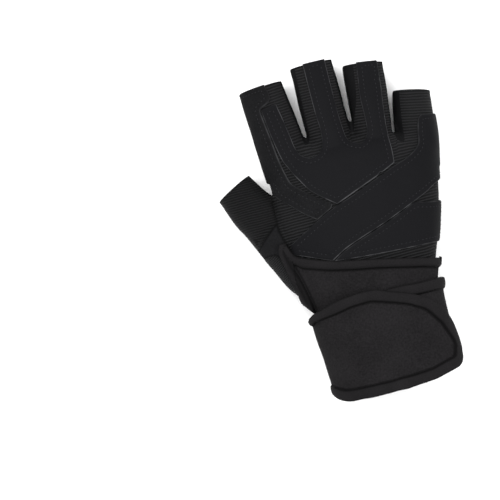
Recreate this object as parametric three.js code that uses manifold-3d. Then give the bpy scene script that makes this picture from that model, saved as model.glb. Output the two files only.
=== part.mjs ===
import * as THREE from "three";
import { mergeVertices } from "three/addons/utils/BufferGeometryUtils.js";
import Module from "manifold-3d";

const wasm = await Module();
wasm.setup();

// A right-hand fingerless training glove, lying palm down and keeping its filled form.
// Millimetres, +Y to the fingers, -X to the thumb, +Z out of the back of the hand.

// Overall sizes
const palmWidth = 98;
const handLength = 186;
const palmHeight = 38;
const wristWidth = 65;
const wristHeight = 35.6;

// Fingers and thumb
const fingerWidth = 25;
const fingerHeight = 21;
const thumbWidth = 24;
const thumbHeight = 23.5;
const openingLean = 4;

// Cloth gauges
const shellWall = 1.4;
const strapThickness = 1.2;
const gripThickness = 1.0;
const cuffThickness = 1.8;
const wrapThickness = 2.0;
const tapeThickness = 0.8;
const clearance = 0.3;

// Bound edges
const cuffTapeWidth = 4.9;
const cuffSideTapeWidth = 5.0;
const wrapTopTapeWidth = 6.6;
const wrapLowTapeWidth = 4.6;
const tapeTurn = 1.1;

// Strap joins
const strapJoin = 0.7;

// Finger dots and pull tabs
const dotLength = 8.8;
const dotWidth = 6.6;
const tabWidth = 17;
const tabLength = 13.5;
const tabInset = 2.7;

// Facets
const palmFacets = 28;
const fingerFacets = 16;
const thumbFacets = 18;
const sectionPower = 2.3;
const reach = 120;
const facetTolerance = 0.085;
const smallPiece = 160;
const tabFacet = 2.5;

const MATERIALS = {
  suede: { color: 0x2b2826, roughness: 0.95, metalness: 0 },
  ribbed: { color: 0x232324, roughness: 0.85, metalness: 0 },
  side: { color: 0x1b1b1c, roughness: 0.7, metalness: 0 },
  strap: { color: 0x29292b, roughness: 0.55, metalness: 0 },
  cuff: { color: 0x2e2d2c, roughness: 0.9, metalness: 0 },
  tape: { color: 0x2b2b2b, roughness: 0.8, metalness: 0 },
  grip: { color: 0x111112, roughness: 0.2, metalness: 0 },
};

// Palm and wrist sections
// left and right in shares of palmWidth, along in shares of handLength,
// low and high in shares of palmHeight, wrist marks rows sized by the wrist instead
const PALM_ROWS = [
  { left: -0.46, leftAlong: -0.06, right: 0.508, rightAlong: -0.06, low: 0.146, high: 1.146, wrist: true },
  { left: -0.474, leftAlong: 0.065, right: 0.506, rightAlong: 0.065, low: 0.146, high: 1.146, wrist: true },
  { left: -0.495, leftAlong: 0.172, right: 0.502, rightAlong: 0.172, low: 0.146, high: 1.146, wrist: true },
  { left: -0.518, leftAlong: 0.269, right: 0.517, rightAlong: 0.269, low: 0.146, high: 1.152, wrist: true },
  { left: -0.388, leftAlong: 0.333, right: 0.367, rightAlong: 0.328, low: 0.142, high: 1.092 },
  { left: -0.429, leftAlong: 0.419, right: 0.412, rightAlong: 0.398, low: 0.147, high: 1.113 },
  { left: -0.464, leftAlong: 0.527, right: 0.455, rightAlong: 0.505, low: 0.147, high: 1.121 },
  { left: -0.469, leftAlong: 0.602, right: 0.492, rightAlong: 0.613, low: 0.137, high: 1.095 },
  { left: -0.468, leftAlong: 0.667, right: 0.517, rightAlong: 0.683, low: 0.121, high: 1.042 },
  { left: -0.472, leftAlong: 0.731, right: 0.527, rightAlong: 0.715, low: 0.121, high: 0.961 },
  { left: -0.469, leftAlong: 0.785, right: 0.515, rightAlong: 0.728, low: 0.197, high: 0.816 },
  { left: -0.449, leftAlong: 0.809, right: 0.48, rightAlong: 0.734, low: 0.316, high: 0.658 },
];

// Finger sections, root first: middle and along place each section on the palm,
// wide and high are shares of fingerWidth and fingerHeight, skew turns it to the thumb side
const FINGER_ROWS = {
  index: [
    { middle: -0.327, along: 0.664, wide: 1.09, low: 8, high: 1.24, skew: 6 },
    { middle: -0.344, along: 0.798, wide: 1.115, low: 4.6, high: 1.34, skew: 6 },
    { middle: -0.384, along: 0.964, wide: 0.955, low: 1.6, high: 1, skew: 6 },
  ],
  middle: [
    { middle: -0.069, along: 0.677, wide: 1.02, low: 8, high: 1.29, skew: 0 },
    { middle: -0.07, along: 0.796, wide: 1.105, low: 4.8, high: 1.39, skew: 0.5 },
    { middle: -0.0755, along: 1, wide: 1.024, low: 1.5, high: 0.98, skew: 1 },
  ],
  ring: [
    { middle: 0.173, along: 0.671, wide: 1.0, low: 8, high: 1.26, skew: -5 },
    { middle: 0.193, along: 0.789, wide: 1.02, low: 4.6, high: 1.35, skew: -5.5 },
    { middle: 0.219, along: 0.966, wide: 0.98, low: 1.5, high: 0.97, skew: -6 },
  ],
  little: [
    { middle: 0.402, along: 0.626, wide: 0.88, low: 8, high: 1.19, skew: -8 },
    { middle: 0.432, along: 0.739, wide: 0.912, low: 4.4, high: 1.24, skew: -9 },
    { middle: 0.458, along: 0.853, wide: 0.85, low: 1.6, high: 0.93, skew: -11 },
  ],
};

// Thumb sections, root first, wide and high in shares of thumbWidth and thumbHeight
const THUMB_ROWS = [
  { middle: -0.15, along: 0.242, wide: 1.2, low: 8, high: 1.11, skew: 12 },
  { middle: -0.212, along: 0.312, wide: 1.47, low: 6, high: 1.19, skew: 20 },
  { middle: -0.316, along: 0.392, wide: 1.6, low: 4, high: 1.23, skew: 28 },
  { middle: -0.41, along: 0.484, wide: 1.58, low: 2.6, high: 1.21, skew: 32 },
  { middle: -0.522, along: 0.56, wide: 1.28, low: 1.8, high: 1.11, skew: 32 },
  { middle: -0.617, along: 0.626, wide: 1.07, low: 1.6, high: 1.04, skew: 31 },
  { middle: -0.674, along: 0.687, wide: 0.94, low: 1.5, high: 1, skew: 29 },
];

// Height of the side seam, in shares of handLength and palmHeight
const SEAM_ROWS = [
  { along: -0.3, height: 0.6 },
  { along: 0.33, height: 0.6 },
  { along: 0.54, height: 0.59 },
  { along: 0.69, height: 0.54 },
  { along: 0.8, height: 0.46 },
  { along: 0.97, height: 0.31 },
  { along: 1.2, height: 0.28 },
];

// Outlines seen from above, in shares of palmWidth and handLength
const KNUCKLE_STRAP = [
  { across: -0.422, along: 0.9 },
  { across: -0.332, along: 0.91 },
  { across: -0.312, along: 0.855 },
  { across: -0.295, along: 0.802 },
  { across: -0.272, along: 0.748 },
  { across: -0.21, along: 0.723 },
  { across: -0.142, along: 0.736 },
  { across: -0.116, along: 0.782 },
  { across: -0.122, along: 0.861 },
  { across: -0.125, along: 1.04 },
  { across: 0.003, along: 1.04 },
  { across: 0.003, along: 0.875 },
  { across: 0.008, along: 0.8 },
  { across: 0.026, along: 0.751 },
  { across: 0.098, along: 0.732 },
  { across: 0.142, along: 0.757 },
  { across: 0.152, along: 0.793 },
  { across: 0.155, along: 0.873 },
  { across: 0.186, along: 1.0 },
  { across: 0.301, along: 1.0 },
  { across: 0.288, along: 0.903 },
  { across: 0.26, along: 0.78 },
  { across: 0.258, along: 0.689 },
  { across: 0.253, along: 0.65 },
  { across: 0.079, along: 0.611 },
  { across: -0.12, along: 0.568 },
  { across: -0.197, along: 0.599 },
  { across: -0.258, along: 0.629 },
  { across: -0.311, along: 0.674 },
  { across: -0.345, along: 0.707 },
  { across: -0.368, along: 0.733 },
  { across: -0.395, along: 0.8 },
];
const DIAGONAL_TOP = [
  { across: 0.66, along: 0.772 },
  { across: 0.47, along: 0.778 },
  { across: 0.45, along: 0.764 },
  { across: 0.432, along: 0.731 },
  { across: 0.41, along: 0.69 },
  { across: 0.34, along: 0.662 },
  { across: 0.25, along: 0.644 },
  { across: 0.0, along: 0.589 },
  { across: -0.177, along: 0.553 },
  { across: -0.325, along: 0.511 },
  { across: -0.425, along: 0.48 },
];
const DIAGONAL_LOW = [
  { across: -0.43, along: 0.45 },
  { across: -0.218, along: 0.404 },
  { across: -0.119, along: 0.434 },
  { across: 0.155, along: 0.489 },
  { across: 0.385, along: 0.542 },
  { across: 0.448, along: 0.562 },
  { across: 0.49, along: 0.572 },
  { across: 0.66, along: 0.572 },
];
const SIDE_STRAP = [
  { across: 0.66, along: 0.511 },
  { across: 0.4, along: 0.514 },
  { across: 0.308, along: 0.531 },
  { across: 0.211, along: 0.512 },
  { across: 0.093, along: 0.486 },
  { across: -0.12, along: 0.442 },
  { across: -0.215, along: 0.4 },
  { across: 0.005, along: 0.395 },
  { across: 0.3, along: 0.391 },
  { across: 0.66, along: 0.39 },
];
const INDEX_SIDE = [
  { across: -0.7, along: 1.0 },
  { across: -0.383, along: 1.0 },
  { across: -0.36, along: 0.95 },
  { across: -0.355, along: 0.932 },
  { across: -0.374, along: 0.918 },
  { across: -0.42, along: 0.905 },
  { across: -0.426, along: 0.9 },
  { across: -0.406, along: 0.821 },
  { across: -0.389, along: 0.751 },
  { across: -0.366, along: 0.69 },
  { across: -0.338, along: 0.655 },
  { across: -0.211, along: 0.597 },
  { across: -0.146, along: 0.572 },
  { across: -0.16, along: 0.56 },
  { across: -0.249, along: 0.535 },
  { across: -0.323, along: 0.565 },
  { across: -0.394, along: 0.602 },
  { across: -0.442, along: 0.628 },
  { across: -0.475, along: 0.66 },
  { across: -0.7, along: 0.7 },
];

// Cuff edges: the top edge runs from the thumb side to the little-finger side
const CUFF_TOP = [
  { across: -0.492, along: 0.496 },
  { across: -0.455, along: 0.489 },
  { across: -0.418, along: 0.445 },
  { across: -0.301, along: 0.417 },
  { across: -0.157, along: 0.396 },
  { across: 0.051, along: 0.377 },
  { across: 0.259, along: 0.355 },
  { across: 0.388, along: 0.339 },
  { across: 0.6, along: 0.32 },
];
const CUFF_SIDE = [
  { across: -0.492, along: 0.496 },
  { across: -0.5, along: 0.473 },
  { across: -0.488, along: 0.437 },
  { across: -0.46, along: 0.376 },
  { across: -0.43, along: 0.32 },
  { across: -0.404, along: 0.269 },
  { across: -0.39, along: 0.2 },
];

// Wrist wrap edges
const WRAP_END_TOP = [
  { across: -0.7, along: 0.25 },
  { across: -0.422, along: 0.262 },
  { across: -0.319, along: 0.276 },
  { across: -0.204, along: 0.29 },
  { across: -0.094, along: 0.294 },
  { across: -0.03, along: 0.291 },
  { across: 0.061, along: 0.275 },
  { across: 0.161, along: 0.254 },
  { across: 0.256, along: 0.223 },
  { across: 0.317, along: 0.19 },
  { across: 0.352, along: 0.145 },
  { across: 0.38, along: 0.09 },
  { across: 0.392, along: 0.055 },
];
const WRAP_UNDER_TOP = [
  { across: -0.7, along: 0.225 },
  { across: -0.3, along: 0.25 },
  { across: 0.054, along: 0.284 },
  { across: 0.227, along: 0.281 },
  { across: 0.381, along: 0.285 },
  { across: 0.7, along: 0.285 },
];
const WRAP_PALM_TOP = [
  { across: -0.7, along: 0.215 },
  { across: -0.386, along: 0.22 },
  { across: -0.268, along: 0.226 },
  { across: -0.068, along: 0.232 },
  { across: 0.113, along: 0.247 },
  { across: 0.302, along: 0.27 },
  { across: 0.42, along: 0.285 },
  { across: 0.7, along: 0.29 },
];
const WRAP_LOW = [
  { across: 0.7, along: 0.06 },
  { across: 0.395, along: 0.032 },
  { across: 0.347, along: 0.009 },
  { across: 0.208, along: -0.009 },
  { across: 0.042, along: -0.017 },
  { across: -0.122, along: -0.02 },
  { across: -0.307, along: -0.019 },
  { across: -0.357, along: -0.009 },
  { across: -0.39, along: 0.012 },
  { across: -0.7, along: 0.04 },
];

// Thumb cloth joins: the stretch panel reaches the first line, the soft gusset the second
const THUMB_JOIN = [
  { across: -0.8, along: 0.4 },
  { across: -0.622, along: 0.484 },
  { across: -0.554, along: 0.521 },
  { across: -0.488, along: 0.55 },
  { across: -0.3, along: 0.577 },
];
const HEEL_JOIN = [
  { across: -0.75, along: 0.449 },
  { across: -0.608, along: 0.455 },
  { across: -0.532, along: 0.46 },
  { across: -0.506, along: 0.446 },
  { across: -0.465, along: 0.365 },
  { across: -0.41, along: 0.25 },
];

// Side cloth between two fingers, seen from above
const SIDE_PANELS = {
  side_cloth_index_middle: [
    { across: -0.282, along: 1.02 },
    { across: -0.256, along: 0.9 },
    { across: -0.226, along: 0.8 },
    { across: -0.214, along: 0.768 },
    { across: -0.19, along: 0.78 },
    { across: -0.186, along: 0.85 },
    { across: -0.178, along: 1.06 },
  ],
  side_cloth_middle_ring: [
    { across: 0.036, along: 1.06 },
    { across: 0.045, along: 0.9 },
    { across: 0.052, along: 0.8 },
    { across: 0.068, along: 0.775 },
    { across: 0.088, along: 0.81 },
    { across: 0.132, along: 0.882 },
    { across: 0.166, along: 1.02 },
  ],
  side_cloth_ring_little: [
    { across: 0.34, along: 1.02 },
    { across: 0.318, along: 0.88 },
    { across: 0.296, along: 0.77 },
    { across: 0.31, along: 0.72 },
    { across: 0.338, along: 0.71 },
    { across: 0.356, along: 0.77 },
    { across: 0.4, along: 0.92 },
  ],
};

// Grip pads under the palm
const GRIP_BARS = {
  grip_bar_upper: [
    { across: -0.39, along: 0.728 },
    { across: -0.313, along: 0.738 },
    { across: -0.206, along: 0.74 },
    { across: -0.07, along: 0.729 },
    { across: 0.095, along: 0.704 },
    { across: 0.258, along: 0.675 },
    { across: 0.384, along: 0.645 },
    { across: 0.44, along: 0.615 },
    { across: 0.438, along: 0.6 },
    { across: 0.361, along: 0.605 },
    { across: 0.233, along: 0.629 },
    { across: 0.095, along: 0.638 },
    { across: -0.032, along: 0.666 },
    { across: -0.161, along: 0.691 },
    { across: -0.294, along: 0.71 },
  ],
  grip_bar_middle: [
    { across: -0.376, along: 0.706 },
    { across: -0.261, along: 0.693 },
    { across: -0.132, along: 0.669 },
    { across: 0.026, along: 0.629 },
    { across: 0.15, along: 0.597 },
    { across: 0.28, along: 0.559 },
    { across: 0.337, along: 0.548 },
    { across: 0.433, along: 0.532 },
    { across: 0.445, along: 0.548 },
    { across: 0.418, along: 0.568 },
    { across: 0.359, along: 0.589 },
    { across: 0.23, along: 0.618 },
    { across: 0.09, along: 0.628 },
    { across: -0.035, along: 0.656 },
    { across: -0.165, along: 0.682 },
    { across: -0.295, along: 0.7 },
  ],
  grip_bar_lower: [
    { across: -0.385, along: 0.695 },
    { across: -0.344, along: 0.668 },
    { across: -0.253, along: 0.639 },
    { across: -0.128, along: 0.605 },
    { across: -0.003, along: 0.571 },
    { across: 0.123, along: 0.542 },
    { across: 0.255, along: 0.52 },
    { across: 0.321, along: 0.526 },
    { across: 0.265, along: 0.541 },
    { across: 0.142, along: 0.577 },
    { across: 0.021, along: 0.619 },
    { across: -0.137, along: 0.659 },
    { across: -0.265, along: 0.683 },
  ],
};
const HEEL_PADS = {
  heel_pad_inner: [
    { across: -0.007, along: 0.497 },
    { across: -0.003, along: 0.463 },
    { across: 0.014, along: 0.426 },
    { across: 0.041, along: 0.39 },
    { across: 0.077, along: 0.36 },
    { across: 0.118, along: 0.343 },
    { across: 0.186, along: 0.33 },
    { across: 0.224, along: 0.335 },
    { across: 0.272, along: 0.35 },
    { across: 0.18, along: 0.39 },
    { across: 0.1, along: 0.42 },
    { across: 0.05, along: 0.466 },
  ],
  heel_pad_middle: [
    { across: 0.064, along: 0.504 },
    { across: 0.098, along: 0.484 },
    { across: 0.139, along: 0.455 },
    { across: 0.197, along: 0.426 },
    { across: 0.256, along: 0.399 },
    { across: 0.285, along: 0.381 },
    { across: 0.247, along: 0.374 },
    { across: 0.182, along: 0.4 },
    { across: 0.122, along: 0.423 },
    { across: 0.078, along: 0.468 },
  ],
  heel_pad_outer: [
    { across: 0.307, along: 0.499 },
    { across: 0.338, along: 0.488 },
    { across: 0.36, along: 0.475 },
    { across: 0.362, along: 0.442 },
    { across: 0.344, along: 0.406 },
    { across: 0.309, along: 0.372 },
    { across: 0.278, along: 0.395 },
    { across: 0.232, along: 0.424 },
    { across: 0.145, along: 0.468 },
    { across: 0.088, along: 0.503 },
    { across: 0.16, along: 0.494 },
    { across: 0.249, along: 0.492 },
  ],
};

// Finger dots: place, and turn of the long side from +Y to the thumb side in degrees
const GRIP_DOTS = [
  { name: "dot_index_tip", across: -0.385, along: 0.865, turn: 6 },
  { name: "dot_index_root", across: -0.371, along: 0.805, turn: 6 },
  { name: "dot_middle_tip", across: -0.074, along: 0.872, turn: 1 },
  { name: "dot_middle_root", across: -0.073, along: 0.82, turn: 1 },
  { name: "dot_ring_tip", across: 0.206, along: 0.857, turn: -6 },
  { name: "dot_ring_root", across: 0.199, along: 0.805, turn: -6 },
  { name: "dot_little", across: 0.438, along: 0.77, turn: -9 },
  { name: "dot_thumb_tip", across: -0.59, along: 0.59, turn: 32 },
  { name: "dot_thumb_root", across: -0.51, along: 0.535, turn: 32 },
];

// Pull tabs, turned back under the middle and ring fingers
const PULL_TABS = [
  { name: "pull_tab_middle", across: -0.0755, along: 1.0, turn: 1 },
  { name: "pull_tab_ring", across: 0.219, along: 0.966, turn: -6 },
];

// Solids from three.js geometry
function solidOf(geometry) {
  geometry.deleteAttribute("normal");
  geometry.deleteAttribute("uv");
  const merged = mergeVertices(geometry, 1e-4);
  const mesh = new wasm.Mesh({
    numProp: 3,
    vertProperties: new Float32Array(merged.attributes.position.array),
    triVerts: new Uint32Array(merged.index.array),
  });
  return new wasm.Manifold(mesh);
}

function geometryOf(solid) {
  const mesh = solid.getMesh();
  const geometry = new THREE.BufferGeometry();
  geometry.setAttribute("position", new THREE.BufferAttribute(new Float32Array(mesh.vertProperties), 3));
  geometry.setIndex(new THREE.BufferAttribute(new Uint32Array(mesh.triVerts), 1));
  return geometry;
}

// The largest body of a cut piece, without the crumbs
function largest(solid) {
  const bodies = solid.decompose();
  bodies.sort((a, b) => b.volume() - a.volume());
  return bodies[0];
}

function joined(solids) {
  return solids.reduce((sum, solid) => sum.add(solid));
}

// Points of a plan outline, moved by a shift in millimetres
function planPoints(rows, shiftX = 0, shiftY = 0) {
  return rows.map(
    (row) => new THREE.Vector2(row.across * palmWidth + shiftX, row.along * handLength + shiftY),
  );
}

// An upright block over a plan outline
function blockOver(points) {
  const area = THREE.ShapeUtils.area(points);
  const ordered = area < 0 ? points.slice().reverse() : points;
  const shape = new THREE.Shape(ordered);
  const geometry = new THREE.ExtrudeGeometry(shape, { depth: reach, bevelEnabled: false });
  geometry.translate(0, 0, -reach / 3);
  return solidOf(geometry);
}

// The room above or below the side seam, with a lift in millimetres
function seamRoom(above, lift) {
  const far = above ? reach : -reach;
  const points = SEAM_ROWS.map(
    (row) => new THREE.Vector2(row.along * handLength, row.height * palmHeight + lift),
  );
  const first = points[0];
  const last = points[points.length - 1];
  points.push(new THREE.Vector2(last.x, far), new THREE.Vector2(first.x, far));
  const ordered = THREE.ShapeUtils.area(points) < 0 ? points.slice().reverse() : points;
  const geometry = new THREE.ExtrudeGeometry(new THREE.Shape(ordered), { depth: 2 * reach, bevelEnabled: false });
  geometry.translate(0, 0, -reach);
  const turn = new THREE.Matrix4().makeBasis(
    new THREE.Vector3(0, 1, 0),
    new THREE.Vector3(0, 0, 1),
    new THREE.Vector3(1, 0, 0),
  );
  geometry.applyMatrix4(turn);
  return solidOf(geometry);
}

// One section of a sleeve: centre, half width vector, half height vector
function sectionOf(left, right, low, high, lean) {
  const centre = new THREE.Vector3((left.x + right.x) / 2, (left.y + right.y) / 2, (low + high) / 2);
  const across = new THREE.Vector3(right.x - left.x, right.y - left.y, 0).normalize();
  const forward = new THREE.Vector3(-across.y, across.x, 0);
  const angle = THREE.MathUtils.degToRad(lean);
  const up = new THREE.Vector3(
    forward.x * Math.sin(angle),
    forward.y * Math.sin(angle),
    Math.cos(angle),
  );
  const halfWidth = Math.hypot(right.x - left.x, right.y - left.y) / 2;
  return { centre, across, forward, up, halfWidth, halfHeight: (high - low) / 2 };
}

// More sections between the given ones, on smooth lines
function refined(sections, count) {
  const line = (pick) => new THREE.CatmullRomCurve3(sections.map(pick), false, "centripetal");
  const centres = line((s) => s.centre);
  const edges = line((s) => s.centre.clone().addScaledVector(s.across, s.halfWidth));
  const crests = line((s) => s.centre.clone().addScaledVector(s.up, s.halfHeight));
  const result = [];
  for (let step = 0; step <= count; step += 1) {
    const t = step / count;
    const centre = centres.getPoint(t);
    const across = edges.getPoint(t).sub(centre);
    const up = crests.getPoint(t).sub(centre);
    const halfWidth = across.length();
    const halfHeight = up.length();
    across.normalize();
    up.normalize();
    const forward = new THREE.Vector3(-across.y, across.x, 0).normalize();
    result.push({ centre, across, forward, up, halfWidth, halfHeight });
  }
  return result;
}

// A closed sleeve through its sections, grown outward and run on past its ends
function sleeve(sections, facets, grow, pastStart, pastEnd) {
  const positions = [];
  const indices = [];
  const rings = sections.length;
  sections.forEach((section, ring) => {
    const centre = section.centre.clone();
    if (ring === 0) {
      centre.addScaledVector(section.forward, -pastStart);
    }
    if (ring === rings - 1) {
      centre.addScaledVector(section.forward, pastEnd);
    }
    for (let step = 0; step < facets; step += 1) {
      const angle = (step / facets) * 2 * Math.PI;
      const c = Math.cos(angle);
      const s = Math.sin(angle);
      const wide = Math.sign(c) * Math.abs(c) ** (2 / sectionPower) * (section.halfWidth + grow);
      const tall = Math.sign(s) * Math.abs(s) ** (2 / sectionPower) * (section.halfHeight + grow);
      const point = centre.clone().addScaledVector(section.across, wide).addScaledVector(section.up, tall);
      positions.push(point.x, point.y, point.z);
    }
  });
  for (let ring = 0; ring < rings - 1; ring += 1) {
    for (let step = 0; step < facets; step += 1) {
      const a = ring * facets + step;
      const b = ring * facets + ((step + 1) % facets);
      const c = b + facets;
      const d = a + facets;
      indices.push(a, c, b, a, d, c);
    }
  }
  const capPoint = (ring, past) => {
    const section = sections[ring];
    const point = section.centre.clone().addScaledVector(section.forward, past);
    positions.push(point.x, point.y, point.z);
    return positions.length / 3 - 1;
  };
  const start = capPoint(0, -pastStart);
  const end = capPoint(rings - 1, pastEnd);
  for (let step = 0; step < facets; step += 1) {
    const next = (step + 1) % facets;
    const last = (rings - 1) * facets;
    indices.push(start, step, next);
    indices.push(end, last + next, last + step);
  }
  const geometry = new THREE.BufferGeometry();
  geometry.setAttribute("position", new THREE.Float32BufferAttribute(positions, 3));
  geometry.setIndex(indices);
  return solidOf(geometry);
}

// Palm and wrist
const palmSections = refined(
  PALM_ROWS.map((row) => {
    const width = row.wrist ? wristWidth : palmWidth;
    const height = row.wrist ? wristHeight : palmHeight;
    const left = new THREE.Vector2(row.left * width, row.leftAlong * handLength);
    const right = new THREE.Vector2(row.right * width, row.rightAlong * handLength);
    return sectionOf(left, right, row.low * height, row.high * height, 0);
  }),
  13,
);

// One finger or the thumb, from its table
function digitSections(rows, width, height, steps) {
  const last = rows.length - 1;
  const sections = rows.map((row, place) => {
    const angle = THREE.MathUtils.degToRad(row.skew);
    const half = (row.wide * width) / 2;
    const x = row.middle * palmWidth;
    const y = row.along * handLength;
    const left = new THREE.Vector2(x - half * Math.cos(angle), y - half * Math.sin(angle));
    const right = new THREE.Vector2(x + half * Math.cos(angle), y + half * Math.sin(angle));
    const lean = (openingLean * place) / last;
    return sectionOf(left, right, row.low, row.low + row.high * height, lean);
  });
  return refined(sections, steps);
}

const fingerSections = Object.fromEntries(
  Object.entries(FINGER_ROWS).map(([name, rows]) => [name, digitSections(rows, fingerWidth, fingerHeight, 3)]),
);
const thumbSections = digitSections(THUMB_ROWS, thumbWidth, thumbHeight, 6);

// The whole hand form, grown by a distance; past runs on at the open ends
function handForm(grow, past) {
  const palm = sleeve(palmSections, palmFacets, grow, past, grow);
  const digits = Object.values(fingerSections).map((s) => sleeve(s, fingerFacets, grow, grow, past));
  const thumb = sleeve(thumbSections, thumbFacets, grow, grow, past);
  return joined([palm, thumb, ...digits]);
}

// The wrist form alone, for the cuff and the wrap
function wristForm(grow) {
  const palm = sleeve(palmSections, palmFacets, grow, 4, grow);
  const thumb = sleeve(thumbSections, thumbFacets, grow, grow, 0);
  return palm.add(thumb);
}

function layer(form, low, high) {
  return form(high).subtract(form(low));
}

// Levels over the hand form
const strapLow = clearance;
const strapHigh = strapLow + strapThickness;
const gripHigh = strapLow + gripThickness;
const cuffLow = clearance;
const cuffHigh = cuffLow + cuffThickness;
const cuffTapeLow = cuffHigh + clearance;
const cuffTapeHigh = cuffTapeLow + tapeThickness;
const wrapLow = cuffHigh + clearance;
const wrapHigh = wrapLow + wrapThickness;
const wrapTapeHigh = wrapHigh + clearance + tapeThickness;
const flapLow = wrapHigh + clearance;
const flapHigh = flapLow + wrapThickness;
const flapTapeHigh = flapHigh + clearance + tapeThickness;

const above = seamRoom(true, clearance / 2);
const below = seamRoom(false, -clearance / 2);
const cuffRoom = seamRoom(true, -0.2 * palmHeight);

// Wrist end: everything stops at this line
function wristCut(back) {
  const points = planPoints(WRAP_LOW, 0, back);
  points.push(new THREE.Vector2(-reach, reach * 3), new THREE.Vector2(reach, reach * 3));
  return blockOver(points);
}

function withSides(points, up) {
  const first = points[0];
  const last = points[points.length - 1];
  return [...points, new THREE.Vector2(last.x, up), new THREE.Vector2(first.x, up)];
}

// Shell of the hand, cut into its cloth panels
const shell = handForm(0, 0)
  .subtract(handForm(-shellWall, 8))
  .intersect(wristCut(3));
const thumbOuter = sleeve(thumbSections, thumbFacets, strapHigh + clearance, 2, 2);
const thumbEdge = -0.478 * palmWidth;
function thumbRoom(shift) {
  return blockOver([
    new THREE.Vector2(-reach, -0.1 * handLength),
    new THREE.Vector2(thumbEdge + 0.04 * palmWidth + shift, -0.1 * handLength),
    new THREE.Vector2(thumbEdge + 0.04 * palmWidth + shift, 0.45 * handLength),
    new THREE.Vector2(thumbEdge + shift, 0.53 * handLength),
    new THREE.Vector2(thumbEdge + shift, 0.72 * handLength),
    new THREE.Vector2(-reach, 0.78 * handLength),
  ]);
}
const thumbSide = thumbRoom(-clearance / 2);
const handSide = thumbRoom(clearance / 2);
const sideSolids = {};
const backBase = above.subtract(handSide);
const sideRoom = seamRoom(true, -0.1 * palmHeight);
let backRoom = backBase;
let palmRoom = below.add(handSide.intersect(seamRoom(false, -0.26 * palmHeight)));
palmRoom = below.subtract(thumbSide.intersect(seamRoom(true, -0.26 * palmHeight - clearance)));
for (const [name, rows] of Object.entries(SIDE_PANELS)) {
  const inside = blockOver(planPoints(rows));
  const centre = planPoints(rows).reduce((sum, p) => sum.add(p), new THREE.Vector2()).divideScalar(rows.length);
  const wider = planPoints(rows).map((p) => {
    const away = p.clone().sub(centre).normalize().multiplyScalar(2 * clearance);
    return p.clone().add(away);
  });
  const outside = blockOver(wider);
  sideSolids[name] = largest(shell.intersect(inside).intersect(sideRoom));
  backRoom = backRoom.subtract(outside);
  palmRoom = palmRoom.subtract(outside.intersect(seamRoom(true, -0.1 * palmHeight - clearance)));
}
const backPanel = largest(shell.intersect(backRoom));
const palmPanel = largest(shell.intersect(palmRoom));

// Thumb cloth: stretch panel, soft gusset, stretch strip down to the wrist
const thumbUpper = shell.intersect(thumbSide).intersect(seamRoom(true, -0.26 * palmHeight));
const tipRoom = (shift) => blockOver(withSides(planPoints(THUMB_JOIN, 0, shift), reach * 2));
const heelRoom = (shift) => {
  const points = planPoints(HEEL_JOIN, shift, shift);
  points.push(new THREE.Vector2(-reach, 0.2 * handLength), new THREE.Vector2(-reach, 0.449 * handLength));
  return blockOver(points);
};
const thumbPanel = largest(thumbUpper.intersect(tipRoom(clearance)));
const heelStrip = largest(thumbUpper.subtract(tipRoom(0)).intersect(heelRoom(0)));
const gusset = largest(thumbUpper.subtract(tipRoom(0)).subtract(heelRoom(clearance)));

// Layers for what lies on the shell
const strapForm = (grow) => handForm(grow, -0.4);
const strapLayer = layer(strapForm, strapLow, strapHigh);
const gripLayer = layer(strapForm, strapLow, gripHigh);

// Cuff edges as blocks, moved in by a distance
function cuffRoomInside(inset) {
  const top = planPoints(CUFF_TOP, 0, -inset);
  const side = planPoints(CUFF_SIDE, inset, 0).slice(1).reverse();
  const points = [...side, ...top.slice(1), new THREE.Vector2(0.6 * palmWidth, -40), new THREE.Vector2(side[0].x, -40)];
  return blockOver(points);
}
const cuffEdge = cuffRoomInside(-clearance - 0.1);

const straps = {};
const overBack = strapLayer.intersect(above).subtract(cuffEdge).subtract(thumbOuter);
straps.knuckle_strap = largest(overBack.intersect(blockOver(planPoints(KNUCKLE_STRAP))));
const diagonal = [...planPoints(DIAGONAL_TOP, 0, -strapJoin / 2), ...planPoints(DIAGONAL_LOW)];
straps.diagonal_strap = largest(overBack.intersect(blockOver(diagonal)));
const sideStrapBlock = blockOver(planPoints(SIDE_STRAP));
const diagonalGrown = blockOver([
  ...planPoints(DIAGONAL_TOP, 0, clearance),
  ...planPoints(DIAGONAL_LOW, 0, -clearance),
]);
straps.side_strap = largest(overBack.intersect(sideStrapBlock).subtract(diagonalGrown));
straps.index_side_panel = largest(
  overBack.intersect(blockOver(planPoints(INDEX_SIDE)))
    .subtract(blockOver(planPoints(KNUCKLE_STRAP).map((p) => p.add(new THREE.Vector2(-0.4, 0)))))
    .subtract(diagonalGrown),
);

// Cuff: a band round the wrist with a flap up the back, bound at the top and the thumb side
const bandRoom = blockOver([
  new THREE.Vector2(-reach, -20),
  new THREE.Vector2(reach, -20),
  new THREE.Vector2(reach, 0.21 * handLength),
  new THREE.Vector2(-reach, 0.2 * handLength),
]);
const wristKeep = wristCut(2);
const cuffLayer = layer(wristForm, cuffLow, cuffHigh).intersect(wristKeep);
const cuffBack = cuffRoomInside(tapeTurn + clearance).intersect(cuffRoom);
const cuffBand = largest(cuffLayer.intersect(cuffBack.add(bandRoom)));
const wrapTopRoom = blockOver(withSides(planPoints(WRAP_END_TOP, 0, clearance).slice(0, 11), -40));
const underRoom = blockOver(withSides(planPoints(WRAP_UNDER_TOP, 0, clearance), -40));
const overCuff = layer(wristForm, cuffTapeLow, cuffTapeHigh)
  .add(layer(wristForm, cuffLow, cuffTapeHigh).subtract(cuffRoomInside(tapeTurn)))
  .intersect(cuffRoom)
  .subtract(wrapTopRoom)
  .subtract(underRoom);
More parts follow.
